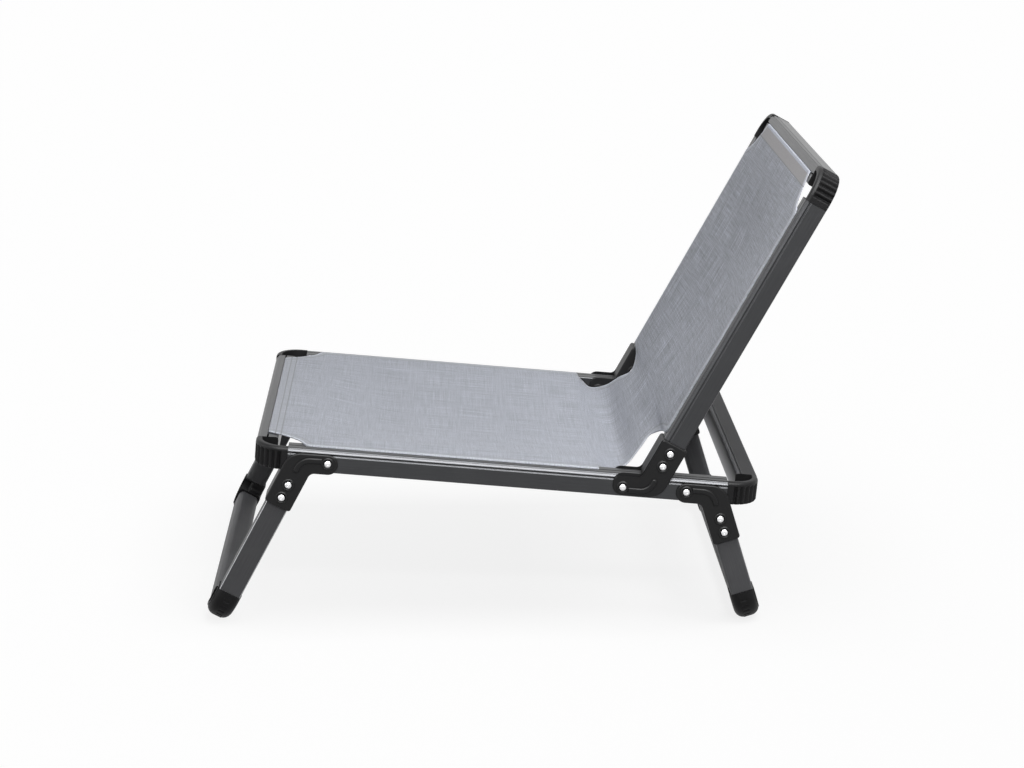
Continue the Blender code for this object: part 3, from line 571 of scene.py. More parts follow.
def wall_span(mould):
    """Lowest and highest level of the fluted wall."""
    face = HALF_DEPTH + mould["proud"]
    return mould["back_edge"] * WALL_START - face, face - WALL_STOP * mould["edge"]


def connector_section(mould):
    out, face = HALF + mould["reach"], HALF_DEPTH + mould["proud"]
    back_edge, edge, (low, high) = mould["back_edge"], mould["edge"], wall_span(mould)
    points = [(x, y, "wall") for x, y in arc(out - back_edge, back_edge - face, back_edge, 270, 350, 5)]
    points += [(out, low + (high - low) * row / (WALL_ROWS - 1), "wall") for row in range(WALL_ROWS)]
    points += [(x, y, "") for x, y in arc(out - edge, face - edge, edge, 0, 90, 5)]
    points += [(out - RIM, face, ""), (out - RIM - LEDGE, face - LEDGE_DROP, "sunk")]
    points += [(x, y, "sunk") for x, y in arc(INNER_EDGE - out, face - INNER_EDGE, INNER_EDGE, 90, 180, 3)]
    points += [(x, y, "") for x, y in arc(INNER_EDGE - out, INNER_EDGE - face, INNER_EDGE, 180, 270, 3)]
    return points


print("points in a corner's section", len(connector_section(CORNER)))

# %% [markdown]
# ## Flutes and collars
# A flute is a wave round the bend: a point on the wall moves inwards by the wave's height, less near the
# rims. Each end of the bend is then drawn out into a short collar that meets the tube, and the last ring of
# the collar rises again, so that the sunk face is closed at its ends.

# %% Flutes and collars
FLUTES, TOP_FADE, SOLE_FADE, SUNK = 7, 7, 6, 0.014
COLLAR, COLLAR_SHARES, SAME_ANGLE, SAME_PLACE = 0.008, (0.9, 0.1), 0.002, 0.00002


def press_flutes(bm, section, mould):
    low, high = wall_span(mould)
    for vert in bm.verts:
        radius = math.hypot(vert.co.x, vert.co.y)
        share = math.atan2(vert.co.y, vert.co.x) / (math.pi / 2)
        nearest = min(section, key=lambda point: (BEND + point[0] - radius) ** 2 + (point[1] - vert.co.z) ** 2)
        if nearest[2] == "wall":
            rise = max(0.0, (nearest[1] - low) / (high - low))
            fade = math.sqrt(min(1.0, (1 - rise) * TOP_FADE))
            if mould is FOOT:
                fade *= min(1.0, rise * SOLE_FADE)
            groove = (0.5 - 0.5 * math.cos(math.tau * share * FLUTES)) ** mould["sharpness"]
            scale = min(1.0, (BEND + HALF + mould["reach"] - mould["depth"] * groove * fade) / radius)
            vert.co.x *= scale
            vert.co.y *= scale
        elif nearest[2] == "sunk":
            vert.co.z -= SUNK


def draw_collars(bm, section):
    for angle, shift in ((0.0, (0, -COLLAR, 0)), (math.pi / 2, (-COLLAR, 0, 0))):
        rim = [edge for edge in bm.edges if edge.is_boundary
               and all(abs(math.atan2(vert.co.y, vert.co.x) - angle) < SAME_ANGLE for vert in edge.verts)]
        for share in COLLAR_SHARES:
            drawn = bmesh.ops.extrude_edge_only(bm, edges=rim)["geom"]
            verts = of_kind(drawn, bmesh.types.BMVert)
            bmesh.ops.translate(bm, verts=verts, vec=Vector(shift) * share)
            rim = [edge for edge in of_kind(drawn, bmesh.types.BMEdge)
                   if all(vert in verts for vert in edge.verts)]
        for vert in verts:
            radius = vert.co.x if angle == 0.0 else vert.co.y
            if any(tag == "sunk" and abs(BEND + x - radius) + abs(y - SUNK - vert.co.z) < SAME_PLACE
                   for x, y, tag in section):
                vert.co.z += SUNK
        bmesh.ops.contextual_create(bm, geom=rim)


print("flutes on each bend", FLUTES)

# %% [markdown]
# ## Ribbed corner connectors
# The section is spun through a quarter turn, fluted, given its collars and then carried to its corner. Feet
# are cut off level with the floor by a bisecting plane, because the chair stands on them.

# %% Connectors
SIDES, BEND_STEPS = ((-1, "left"), (1, "right")), 84


def connector(node, body, outward, side, end_face, level_z, mould):
    section = connector_section(mould)
    bm = bmesh.new()
    first = [bm.verts.new((BEND + x, 0, y)) for x, y, _ in section]
    loop = [bm.edges.new((first[index - 1], first[index])) for index in range(len(first))]
    bmesh.ops.spin(bm, geom=first + loop, axis=(0, 0, 1), cent=(0, 0, 0), angle=math.pi / 2, steps=BEND_STEPS)
    press_flutes(bm, section, mould)
    draw_collars(bm, section)
    centre_x = end_face - outward * (BEND + HALF)
    centre_y = side * (WIDTH / 2 - BEND - HALF)
    flip = Matrix(((0, outward, 0, centre_x), (side, 0, 0, centre_y), (0, 0, mould["turned"], level_z),
                   (0, 0, 0, 1)))
    bmesh.ops.transform(bm, matrix=place[body] @ flip, verts=bm.verts)
    if mould is FOOT:
        sole = bmesh.ops.bisect_plane(bm, geom=bm.verts[:] + bm.edges[:] + bm.faces[:], plane_co=(0, 0, 0),
                                      plane_no=(0, 0, -1), clear_outer=True)["geom_cut"]
        bmesh.ops.contextual_create(bm, geom=of_kind(sole, bmesh.types.BMEdge))
    bmesh.ops.recalc_face_normals(bm, faces=bm.faces)
    material = FOOT_PLASTIC if mould is FOOT else CORNER_PLASTIC
    return finish_piece("ribbed_" + node, bm, material, body, [node], sharp=45.0)


def leg_length(name):
    """Distance from the hinge to the outer face of the leg frame's crossbar."""
    verts = frame["nodes"][name + "_crossbar"].data.vertices
    return max((place[name].inverted() @ vert.co).x for vert in verts)


CORNERS = [("seat_front_corner", "seat", -1, 1, 0.0, 0.0, CORNER),
           ("seat_rear_corner", "seat", 1, 1, SEAT_LENGTH, 0.0, CORNER),
           ("back_corner", "back", 1, 1, BACK_LENGTH, -ARM_OFFSET, CORNER),
           ("front_leg_foot", "front_leg", 1, 1, leg_length("front_leg"), -ARM_OFFSET, FOOT),
           ("rear_leg_foot", "rear_leg", 1, -1, leg_length("rear_leg"), -ARM_OFFSET, FOOT)]
connectors = [connector(f"{name}_{label}", body, outward, mirror * side, end_face, level_z, mould)
              for side, label in SIDES for name, body, outward, mirror, end_face, level_z, mould in CORNERS]
print("connectors", len(connectors), "faces on the first", len(connectors[0].data.polygons))

# %% [markdown]
# ## Solids from a side view
# A bracket is easiest to draw from the side, so its outline is pushed out across the chair and its rims are
# bevelled. Room for other parts is cut by boolean modifiers, whose result is read back, because bmesh has
# no operator that cuts one body with another.

# %% Side solids
SOFT_STEPS = 4


def side_solid(outline, low, high, soft):
    """Side-view outline drawn out along Y, with its rims rounded."""
    bm = bmesh.new()
    face = bm.faces.new([bm.verts.new((x, low, z)) for x, z in outline])
    drawn = bmesh.ops.extrude_face_region(bm, geom=[face])["geom"]
    bmesh.ops.translate(bm, vec=(0, high - low, 0), verts=of_kind(drawn, bmesh.types.BMVert))
    bmesh.ops.recalc_face_normals(bm, faces=bm.faces)
    if soft:
        rims = [edge for edge in bm.edges if abs(edge.verts[0].co.y - edge.verts[1].co.y) < MERGE]
        bmesh.ops.bevel(bm, geom=rims, offset=soft, segments=SOFT_STEPS, profile=0.5, affect="EDGES",
                        material=-1)
    return bm


def carved(body, cutters):
    """One body with other bodies cut out of it."""
    made = [link_object("blank", mesh_from("blank", bm)) for bm in [body] + cutters]
    for cutter in made[1:]:
        cut = made[0].modifiers.new("cut", "BOOLEAN")
        cut.object, cut.operation, cut.solver = cutter, "DIFFERENCE", "EXACT"
    seen = made[0].evaluated_get(bpy.context.evaluated_depsgraph_get())
    result = bmesh.new()
    result.from_mesh(seen.to_mesh())
    for blank in made:
        bpy.data.objects.remove(blank, do_unlink=True)
    return result


print("side solids ready")

# %% [markdown]
# ## Forked brackets
# A bracket grips its tube like a sleeve and forks over the seat rail to its pivot rivet. It is drawn as a
# boomerang in side view, and then the room for the rail, at rest and folded, and the sleeve for the tube
# are cut out of it. The back bracket's outer plate is also lower than its inner one, so a scoop comes off
# that side.

# %% Bracket bodies
GAP, PLATE, FORK_HALF, GRIP_END, GRIP_EDGE = 0.0166, 0.003, 0.0196, 0.09203, 0.004
PLATE_END, PLATE_LOW, PLATE_HIGH, ELBOW, CROOK = 0.015, 0.013, 0.017, 0.029, 0.010
PLATE_SOFT, PLAY, SKIN, SLEEVE_WALL, SCOOP_DROP = 0.0022, 0.0006, 0.0003, 0.0021, 0.0014
RAIL_GAP = {"back": 0.019, "front_leg": 0.015, "rear_leg": 0.015}
TRAVEL = {joint["child"]: math.radians(joint["range_deg"][1]) for joint in frame["joints"]}
SLEEVE_HALF, SLEEVE_END, FAR, ROUND_STEPS = HALF_DEPTH + PLAY, 0.15, 0.3, 12


def from_rail(body, u, v):
    """Place in a frame's own axes of a point given along and square to the seat rail."""
    turn = LEAN[body]
    return u * math.cos(turn) + v * math.sin(turn), v * math.cos(turn) - u * math.sin(turn)


def crossing(body, v, z):
    """Where a line along the seat rail, at v, meets a line along the frame's own tube, at z."""
    return (v - z * math.cos(LEAN[body])) / math.sin(LEAN[body])


def bracket_body(body, side):
    middle = side * RAIL_LINE
    outer, inner = -(ARM_OFFSET + SLEEVE_HALF + PLATE), -(ARM_OFFSET - SLEEVE_HALF - PLATE)
    high = RAIL_GAP["back"] + PLATE if body == "back" else PLATE_HIGH
    outline = rounded([
        (*from_rail(body, -PLATE_END, -PLATE_LOW), PLATE_END),
        (crossing(body, -PLATE_LOW, outer), outer, ELBOW), (GRIP_END, outer, GRIP_EDGE),
        (GRIP_END, inner, GRIP_EDGE), (crossing(body, high, inner), inner, CROOK),
        (*from_rail(body, -PLATE_END, high), PLATE_END - SKIN)], ROUND_STEPS)
    blank = side_solid(outline, middle - FORK_HALF, middle + FORK_HALF, PLATE_SOFT)
    cutters = []
    for turn in (0.0, TRAVEL[body]):
        room = bmesh.new()
        height = RAIL_GAP[body] + PLAY + FAR
        shape = (turn_y(LEAN[body] + turn)
                 @ Matrix.Translation((0, middle, RAIL_GAP[body] + PLAY - height / 2))
                 @ Matrix.Diagonal((2 * FAR, 2 * GAP, height, 1)))
        bmesh.ops.create_cube(room, size=1.0, matrix=shape)
        cutters.append(room)
    corner = (ARM_OFFSET + HALF_DEPTH) * math.cos(LEAN[body])
    start = (RAIL_GAP[body] + SLEEVE_WALL + corner) / math.sin(LEAN[body]) - SKIN
    low, top = -ARM_OFFSET - SLEEVE_HALF, -ARM_OFFSET + SLEEVE_HALF
    sleeve = [(start, low), (SLEEVE_END, low), (SLEEVE_END, top), (start, top)]
    cutters.append(side_solid(sleeve, middle - GAP, middle + GAP, 0))
    if body == "back":
        line = inner - SCOOP_DROP
        outline = rounded([(*from_rail(body, -FAR, PLATE_HIGH), 0), (*from_rail(body, -FAR, FAR), 0),
                           (FAR, line, 0), (crossing(body, PLATE_HIGH, line), line, CROOK)], ROUND_STEPS)
        edges = sorted((middle + side * (GAP + SKIN), middle + side * (GAP + FORK_HALF)))
        cutters.append(side_solid(outline, *edges, 0))
    return carved(blank, cutters)


print("fork reach", GRIP_END)

# %% [markdown]
# ## Bosses and ridges
# Round every rivet the plate rises into a ring, with the rivet's head sunk in it, and a soft ridge runs
# from the pivot round the elbow. The rings are spun from a small profile in millimetres and the ridge is a
# rounded outline; both stand in the plate.

# %% Bracket details
RING = [(2.6, -1.0), (2.6, 0.1), (5.6, 0.15), (6.1, 0.9), (6.7, 1.5), (7.5, 1.75), (8.4, 1.5), (9.2, 0.8),
        (9.7, 0.0), (9.8, -1.0)]
RING_STEPS, RIVET_PLACES = 32, (0.05523, 0.07703)
RIDGE_HALF, RIDGE_DROP, RIDGE_START, RIDGE_STOP = 0.0042, 0.0035, 0.008, 0.022
RIDGE_ROOT, RIDGE_RISE, RIDGE_SOFT = 0.0015, 0.0026, 0.0025


def add_ring(bm, x, z, side_y, outward):
    verts = [bm.verts.new((x + radius * MM, side_y + outward * height * MM, z)) for radius, height in RING]
    edges = [bm.edges.new((verts[index - 1], verts[index])) for index in range(len(verts))]
    bmesh.ops.spin(bm, geom=verts + edges, axis=(0, 1, 0), cent=(x, side_y, z), angle=math.tau,
                   steps=RING_STEPS, use_merge=True)


def ridge_outline(body):
    half, line = RIDGE_HALF, ARM_OFFSET + SKIN
    near, far, inner, outer = half - RIDGE_DROP, -half - RIDGE_DROP, half - line, -half - line
    end = RIVET_PLACES[0] - RIDGE_STOP
    return rounded([(*from_rail(body, RIDGE_START, near), 0), (*from_rail(body, RIDGE_START, far), 0),
                    (crossing(body, far, outer), outer, ELBOW - half), (end, outer, half * 0.8),
                    (end, inner, half * 0.8), (crossing(body, near, inner), inner, ELBOW - 3 * half)],
                   ROUND_STEPS)


def bracket(node, body, side):
    middle = side * RAIL_LINE
    whole = bracket_body(body, side)
    for outward in (-1, 1):
        face = middle + outward * FORK_HALF
        span = sorted((face - outward * RIDGE_ROOT, face + outward * RIDGE_RISE))
        detail = side_solid(ridge_outline(body), *span, RIDGE_SOFT)
        for x, z in ((0, 0), (RIVET_PLACES[0], -ARM_OFFSET), (RIVET_PLACES[1], -ARM_OFFSET)):
            add_ring(detail, x, z, face, outward)
        bmesh.ops.remove_doubles(detail, verts=detail.verts, dist=MERGE)
        bmesh.ops.recalc_face_normals(detail, faces=detail.faces)
        mesh = mesh_from("detail", detail)
        whole.from_mesh(mesh)
        bpy.data.meshes.remove(mesh)
    bmesh.ops.transform(whole, matrix=place[body], verts=whole.verts)
    return finish_piece("moulded_" + node, whole, PLASTIC, body, [node], sharp=35.0)


brackets = []
for body in ("back", "front_leg", "rear_leg"):
    for side, label in SIDES:
        local_side = -side if body == "rear_leg" else side
        brackets.append(bracket(f"{body}_bracket_{label}", body, local_side))
print("brackets", len(brackets), "faces on the first", len(brackets[0].data.polygons))

# %% [markdown]
# ## The sling's course
# One piece of cloth runs from the slot of the front tube to the slot of the top tube. Its sides are held in
# the rail slots, except at the four corners and at the hinge, where the free edge draws in. A cloth
# simulation could find this, but a stretched sling hardly moves, so its course is written as stations: a
# point on the middle line, a point on the edge, and half the width there.

# %% Stations on seat and back
SHEET_Z, SAG, SAG_RUN = 0.0186, {"seat": 0.020, "back": 0.015}, 0.18
SEAT_SLOT, SEAT_FREE, SEAT_SCOOP = HALF, 0.5039, 0.056
BACK_FREE, BACK_SLOT, BACK_SCOOP = 0.101, BACK_LENGTH - HALF, 0.054
FREE_SAG, FREE_RUN = 0.3, 0.15


def ease(share):
    share = min(max(share, 0.0), 1.0)
    return share * share * (3 - 2 * share)


def scoop(distance, depth):
    return depth * math.sqrt(max(0.0, 1 - distance / depth))


def station(body, x, level, hang, drawn_in):
    middle, edge = (place[body] @ Vector((x, 0, z)) for z in (level - hang, level))
    return middle, edge, RAIL_LINE - drawn_in


def seat_station(x):
    hang = SAG["seat"] * ease((x - TUBE) / SAG_RUN)
    return station("seat", x, SHEET_Z, hang, scoop(x - SEAT_SLOT, SEAT_SCOOP))


def back_station(x):
    tightened = FREE_SAG + (1 - FREE_SAG) * ease((x - BACK_FREE) / FREE_RUN)
    hang = SAG["back"] * ease((BACK_SLOT - HALF - x) / SAG_RUN) * tightened
    return station("back", x, SHEET_Z - ARM_OFFSET, hang, scoop(BACK_SLOT - x, BACK_SCOOP))


print("half width at the middle of the seat", round(seat_station(SEAT_LENGTH / 2)[2], 3))

# %% [markdown]
# ## Round the hinge
# At the hinge both lines are smooth curves through a few points, given in millimetres from the back's
# pivot. A curve through its own points is easy to fit to the photo, because moving one point only changes
# the curve near it.

# %% Stations
BACK_PIVOT_X, GUIDE = 0.5419, 0.02
BEND_MIDDLE = [(-38, -0.1), (-16, -0.1), (11, 0.0), (32.5, 31.6), (42.4, 46.9), (49.4, 60.3), (56, 72.7)]
BEND_EDGE = [(-38, 19.9), (-16.8, 6.1), (8.8, 15.9), (28.4, 37.0), (42.2, 51.6), (50.0, 61.0), (55.4, 73.8)]
BEND_HALF = [274, 244.8, 225.7, 205.8, 185.8, 197.4, 230.5]
SEAT_ROWS, BEND_ROWS, BACK_ROWS, CROWDING = 96, 72, 84, 1.3


def at_hinge(point):
    return place["seat"] @ Vector((BACK_PIVOT_X + point[0] * MM, 0, PIVOT_Z + point[1] * MM))


def spline(points, share):
    """Point on a smooth curve from the second point to the last but one."""
    place_in = min(share, 0.99999) * (len(points) - 3)
    index = int(place_in)
    t = place_in - index
    a, b, c, d = points[index:index + 4]
    return 0.5 * (2 * b + (c - a) * t + (2 * a - 5 * b + 4 * c - d) * t * t + (3 * b - a - 3 * c + d) * t ** 3)


bend_rows = [seat_station(SEAT_FREE - GUIDE)]
bend_rows += [(at_hinge(middle), at_hinge(edge), half * MM)
              for middle, edge, half in zip(BEND_MIDDLE, BEND_EDGE, BEND_HALF)]
bend_rows += [back_station(BACK_FREE), back_station(BACK_FREE + GUIDE)]
stations = [(*seat_station(SEAT_SLOT + (SEAT_FREE - SEAT_SLOT) * (step / SEAT_ROWS) ** CROWDING), "seat")
            for step in range(SEAT_ROWS + 1)]
for step in range(1, BEND_ROWS):
    middle, edge = (spline([row[kind] for row in bend_rows], step / BEND_ROWS) for kind in (0, 1))
    half = spline([Vector((row[2], 0)) for row in bend_rows], step / BEND_ROWS).x
    stations.append((middle, edge, half, "bend"))
stations += [(*back_station(BACK_SLOT - (BACK_SLOT - BACK_FREE) * (1 - step / BACK_ROWS) ** CROWDING), "back")
             for step in range(BACK_ROWS + 1)]
along = [0.0]
for before, after in zip(stations, stations[1:]):
    along.append(along[-1] + ((after[0] - before[0]).length + (after[1] - before[1]).length) / 2)
print("stations", len(stations), "length of cloth", round(along[-1], 3))

# %% [markdown]
# ## The sling's side edge
# The side hem follows the cloth's edge, which isn't straight. A kd-tree quickly finds the nearest of many
# points, so the edge is stored in one, as points on the flat cloth with a few between each two stations.

# %% Side edge
EDGE_POINTS = 4
edge_tree = kdtree.KDTree(EDGE_POINTS * len(along))
for index in range(EDGE_POINTS * (len(along) - 1)):
    first, share = index // EDGE_POINTS, index % EDGE_POINTS / EDGE_POINTS
    edge_tree.insert((stations[first][2] * (1 - share) + stations[first + 1][2] * share,
                      along[first] * (1 - share) + along[first + 1] * share, 0), index)
edge_tree.balance()
print("points on the side edge", EDGE_POINTS * (len(along) - 1))

# %% [markdown]
# ## The sling's cloth
# A flat grid is laid along the stations. Across the chair it hangs in a shallow curve between the rails,
# and its outermost rows turn down: deep into the slot where the cloth is held, and by a rolled hem where
# the edge is free. Each point keeps its flat place on the cloth for the weave and its distance from the
# side edge for the hem.

# %% Sling shape
LIP, ACROSS, SAG_EDGE = 2, 132, 0.226
SLOT_TUCK, HEM_ROLL, LIP_LENGTH = 0.0050, 0.0011, 0.004
HELD_FROM, HELD_OVER = 0.008, 0.006
rows, core = len(stations) + 2 * LIP, 1 - 2 * LIP / ACROSS
turns = {name: place[name].to_3x3() @ Vector((0, 0, -1)) for name in ("seat", "back")}
bm = bmesh.new()
bmesh.ops.create_grid(bm, x_segments=ACROSS, y_segments=rows - 1, size=1.0)
flat_layer = bm.loops.layers.uv.new("cloth")
edge_layer = bm.verts.layers.float.new("from_side")
flat_place = {}
for vert in bm.verts:
    row = round((vert.co.y + 1) / 2 * (rows - 1))
    number = min(max(row - LIP, 0), len(stations) - 1)
    end_lip = max(LIP - row, row - LIP - len(stations) + 1, 0) / LIP
    middle, edge, half, zone = stations[number]
    side_lip = max(0.0, (abs(vert.co.x) - core) / (1 - core))
    y = max(-1.0, min(1.0, vert.co.x / core)) * half
    rise = min(abs(y) / min(half, SAG_EDGE), 1.0) ** 2
    back_share = 0 if zone == "seat" else 1 if zone == "back" else (number - SEAT_ROWS) / BEND_ROWS
    down = (turns["seat"] * (1 - back_share) + turns["back"] * back_share).normalized()
    held = ease((half - RAIL_LINE + HELD_FROM) / HELD_OVER)
    tuck = max(side_lip * (HEM_ROLL + (SLOT_TUCK - HEM_ROLL) * held), end_lip * SLOT_TUCK)
    vert.co = middle + (edge - middle) * rise + Vector((0, y, 0)) + down * tuck
    flat_place[vert] = (y, along[number] + end_lip * LIP_LENGTH * (1 if row > LIP else -1))
    vert[edge_layer] = edge_tree.find((abs(y), along[number], 0))[2]
for face in bm.faces:
    for loop in face.loops:
        loop[flat_layer].uv = flat_place[loop.vert]
bmesh.ops.recalc_face_normals(bm, faces=bm.faces)
cloth_area = sum(face.calc_area() for face in bm.faces)
print("sling faces", len(bm.faces), "area", round(cloth_area, 4))

# %% [markdown]
# ## The sling as a piece
# The sheet gets its thickness from a modifier, so that its flat grid stays easy to shape.

# %% Sling
CLOTH_THICKNESS = 0.0009
mesh = mesh_from("mesh_sling", bm)
mesh.shade_smooth()
sling = link_object("mesh_sling", mesh)
thicken = sling.modifiers.new("cloth thickness", "SOLIDIFY")
thicken.thickness, thicken.offset = CLOTH_THICKNESS, 0.0
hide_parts("seat_sling", "sling_bend", "back_sling")
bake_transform(sling)
print("made", sling.name)

# %% [markdown]
# ## Woven mesh cloth
# The cloth looks like a plain weave of coated yarn, in which each crossing shows either the lengthwise or
# the crosswise yarn. Two sine waves give this at any scale: where their product is positive the lengthwise
# yarn lies on top, and each wave's size is the crown of its yarn.

# %% Weave group
weave_tree, weave_in, weave_out = new_group("plain weave", [("Vector", VECTOR), ("Threads", FLOAT)],
                                            [("Lengthwise", FLOAT), ("Height", FLOAT)])
parts = add_node(weave_tree, "SeparateXYZ", {0: weave_in.outputs["Vector"]})
waves = []
for axis in ("X", "Y"):
    threads = maths(weave_tree, "MULTIPLY", parts.outputs[axis], weave_in.outputs["Threads"])
    waves.append(maths(weave_tree, "SINE", maths(weave_tree, "MULTIPLY", threads, math.pi)))
over = maths(weave_tree, "GREATER_THAN", maths(weave_tree, "MULTIPLY", *waves), 0.0)
crowns = [maths(weave_tree, "ABSOLUTE", wave) for wave in waves]
height = add_node(weave_tree, "Mix", {0: over, 2: crowns[1], 3: crowns[0]}).outputs[0]
connect(weave_tree, weave_out, {"Lengthwise": over, "Height": height})
print("weave group", [item.name for item in weave_tree.interface.items_tree])

# %% [markdown]
# ## Yarn and slubs
# Thick and thin stretches of the yarn, called slubs, make the fine crosshatch that the eye sees from a
# distance. They are long thin noise in both directions, multiplied together. In the photo they show more on
# the back than on the seat, so their strength changes near the hinge.

# %% Yarn
THREADS, HINGE_ZONE, SLUB_STRENGTH = 620.0, {1: 0.52, 2: 0.64}, {3: 0.7, 4: 1.4}
CROSS_YARN, LONG_YARN = (0.400, 0.420, 0.475), (0.478, 0.497, 0.548)
CROWN_LIGHT, VALLEY_LIGHT = 0.5, 0.66
CLOTH, tree, shader = new_material("grey mesh cloth")
flat = add_node(tree, "UVMap", uv_map="cloth").outputs[0]
weave = add_node(tree, "Group", {"Threads": THREADS, "Vector": flat}, node_tree=weave_tree)


def slub(scale, spread):
    stretched = add_node(tree, "Mapping", {"Scale": scale, "Vector": flat}).outputs[0]
    return add_grain(tree, stretched, 1.0, spread).outputs["Tone"]


def times(first, second):
    return maths(tree, "MULTIPLY", first, second)


lengthwise = times(slub((700.0, 14.0, 1.0), 1.6), slub((300.0, 8.0, 1.0), 0.5))
crosswise = times(slub((14.0, 700.0, 1.0), 1.1), slub((8.0, 300.0, 1.0), 0.3))
lengths = add_node(tree, "SeparateXYZ", {0: flat})
from_front = lengths.outputs["Y"]
strength = add_node(tree, "MapRange", {**HINGE_ZONE, **SLUB_STRENGTH, 0: from_front}).outputs[0]
slubs = maths(tree, "POWER", times(lengthwise, crosswise), strength)
yarn = blended(tree, weave.outputs["Lengthwise"], CROSS_YARN, LONG_YARN)
# Painted shade: the colour darkens in the valleys between yarn crowns, where shade falls.
painted_weave_shade = maths(tree, "MULTIPLY_ADD", weave.outputs["Height"], CROWN_LIGHT, VALLEY_LIGHT)
body_colour = add_node(tree, "VectorMath", {0: yarn, 1: times(slubs, painted_weave_shade)},
                       operation="MULTIPLY").outputs[0]
print("threads to the metre", THREADS)

# %% [markdown]
# ## Hems
# The hems look paler and smoother than the cloth, a plain tape lies along the top, and the outermost few
# millimetres are nearly white. Every point knows its distance from the side, the front and the top, so each
# of these is a band between two distances, mixed over the colour before it.

# %% Hems
HEM, TAPE = (0.43, 0.445, 0.475), (0.46, 0.45, 0.46)
BRIGHT, FRAYED = (0.62, 0.65, 0.74), (0.76, 0.79, 0.87)
OUTSIDE, SIDE_HEM, FRONT_HEM, TOP_HEM, BRIGHT_LINE = -0.02, 0.0105, 0.0190, 0.0230, 0.0045
SIDE_SHARE, FRONT_SHARE = 0.55, 0.35
FRAYS = ((0.0030, 0.85, 0.45), (0.0085, 0.0, 0.35))
from_side = add_node(tree, "Attribute", attribute_name="from_side").outputs["Fac"]
from_top = maths(tree, "SUBTRACT", along[-1], from_front)


def band(distance, start, end, soft=0.0006):
    """One between two distances, with a soft change at both ends."""
    rise, fall = (add_node(tree, "MapRange", {1: edge - soft, 2: edge + soft, 0: distance})
                  for edge in (start, end))
    return maths(tree, "SUBTRACT", rise.outputs[0], fall.outputs[0], clamp=True)


side_hem, front_hem = band(from_side, OUTSIDE, SIDE_HEM), band(from_front, OUTSIDE, FRONT_HEM)
hem_tone = slub((300.0, 300.0, 1.0), 0.5)
hem_colour, tape_colour, bright_colour = (toned(tree, plain, [hem_tone]) for plain in (HEM, TAPE, BRIGHT))
frayed_colour = toned(tree, FRAYED, [slub((420.0, 420.0, 1.0), 1.3)])
colour = blended(tree, times(side_hem, SIDE_SHARE), body_colour, hem_colour)
colour = blended(tree, times(front_hem, FRONT_SHARE), colour, hem_colour)
colour = blended(tree, band(from_top, OUTSIDE, TOP_HEM), colour, tape_colour)
colour = blended(tree, band(from_top, OUTSIDE, BRIGHT_LINE), colour, bright_colour)
for reach, on_seat, on_back in FRAYS:
    amount = add_node(tree, "MapRange", {**HINGE_ZONE, 3: on_seat, 4: on_back, 0: from_front})
    colour = blended(tree, times(band(from_side, OUTSIDE, reach), amount.outputs[0]), colour, frayed_colour)
print("hems in mm", [round(width / MM, 1) for width in (SIDE_HEM, FRONT_HEM, TOP_HEM)])

# %% [markdown]
# ## Seams
# Each hem is sewn down along its inner edge, and the front one also along its middle. A seam is a narrow
# dark band, and short dashes of thread lie on it. Waves along both directions break the band into dashes,
# so no stitch has to be placed by hand.

# %% Seams
SEAM, THREAD = (0.17, 0.175, 0.19), (0.40, 0.41, 0.43)
SIDE_SEAM_SHARE, SEAM_SHARE, THREAD_SHARE = 0.6, 0.75, 0.6
STITCH, STITCH_CUT = 0.0035, -0.5
side_seam = times(band(from_side, 0.0100, 0.0116, 0.0005), SIDE_SEAM_SHARE)
front_seams = maths(tree, "ADD", band(from_front, 0.0100, 0.0114, 0.0003),
                    band(from_front, 0.0182, 0.0198, 0.0003))
top_seam = band(from_top, 0.0224, 0.0236, 0.0004)
seams = maths(tree, "ADD", maths(tree, "ADD", side_seam, front_seams), top_seam, clamp=True)
dashes = [maths(tree, "SINE", times(run, math.tau / STITCH)) for run in (lengths.outputs["X"], from_front)]
stitches = times(seams, maths(tree, "GREATER_THAN", maths(tree, "ADD", *dashes), STITCH_CUT))
colour = blended(tree, times(seams, SEAM_SHARE), colour, SEAM)
colour = blended(tree, times(stitches, THREAD_SHARE), colour, THREAD)
print("stitches to the metre", round(1 / STITCH))

# %% [markdown]
# ## The cloth's surface
# Crowns of the yarn are a little smoother than the valleys between, and seams press into the raised hems. A
# bump is enough for this, because yarn is far finer than the grid. The welts that hold the hems in the
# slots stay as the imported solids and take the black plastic.

# %% Cloth surface
YARN_ROUGHNESS, CROWN_SMOOTHING, SEAM_DIP = 0.80, -0.18, -1.2
rough = maths(tree, "MULTIPLY_ADD", weave.outputs["Height"], CROWN_SMOOTHING, YARN_ROUGHNESS)
connect(tree, shader, {"Base Color": colour, "Roughness": rough, "Sheen Weight": 0.05,
                       "Specular IOR Level": 0.2})
relief = maths(tree, "MULTIPLY_ADD", seams, SEAM_DIP, weave.outputs["Height"])
relief = maths(tree, "ADD", relief, maths(tree, "ADD", side_hem, front_hem))
add_bump(tree, shader, relief, distance=0.0003, strength=0.35)
sling.data.materials.append(CLOTH)
for node in frame["nodes"]:
    if "_welt_" in node:
        frame["nodes"][node].data.materials.clear()
        frame["nodes"][node].data.materials.append(PLASTIC)
print("made", CLOTH.name)

# %% [markdown]
# ## Room
# The photo has a plain white background. The camera and mirror-like reflections see a white room, but a
# room that bright would light the chair from all sides and leave no shading, so it gives the chair only a
# small part of that light.

# %% Room
AMBIENT = 0.15
scene.view_settings.view_transform = "Standard"


def seen_directly(tree):
    """One for camera, glossy and clear rays, and nought for light that fills."""
    path = add_node(tree, "LightPath")
    return maths(tree, "MAXIMUM", path.outputs["Is Camera Ray"],
                 maths(tree, "MAXIMUM", path.outputs["Is Glossy Ray"], path.outputs["Is Transmission Ray"]))


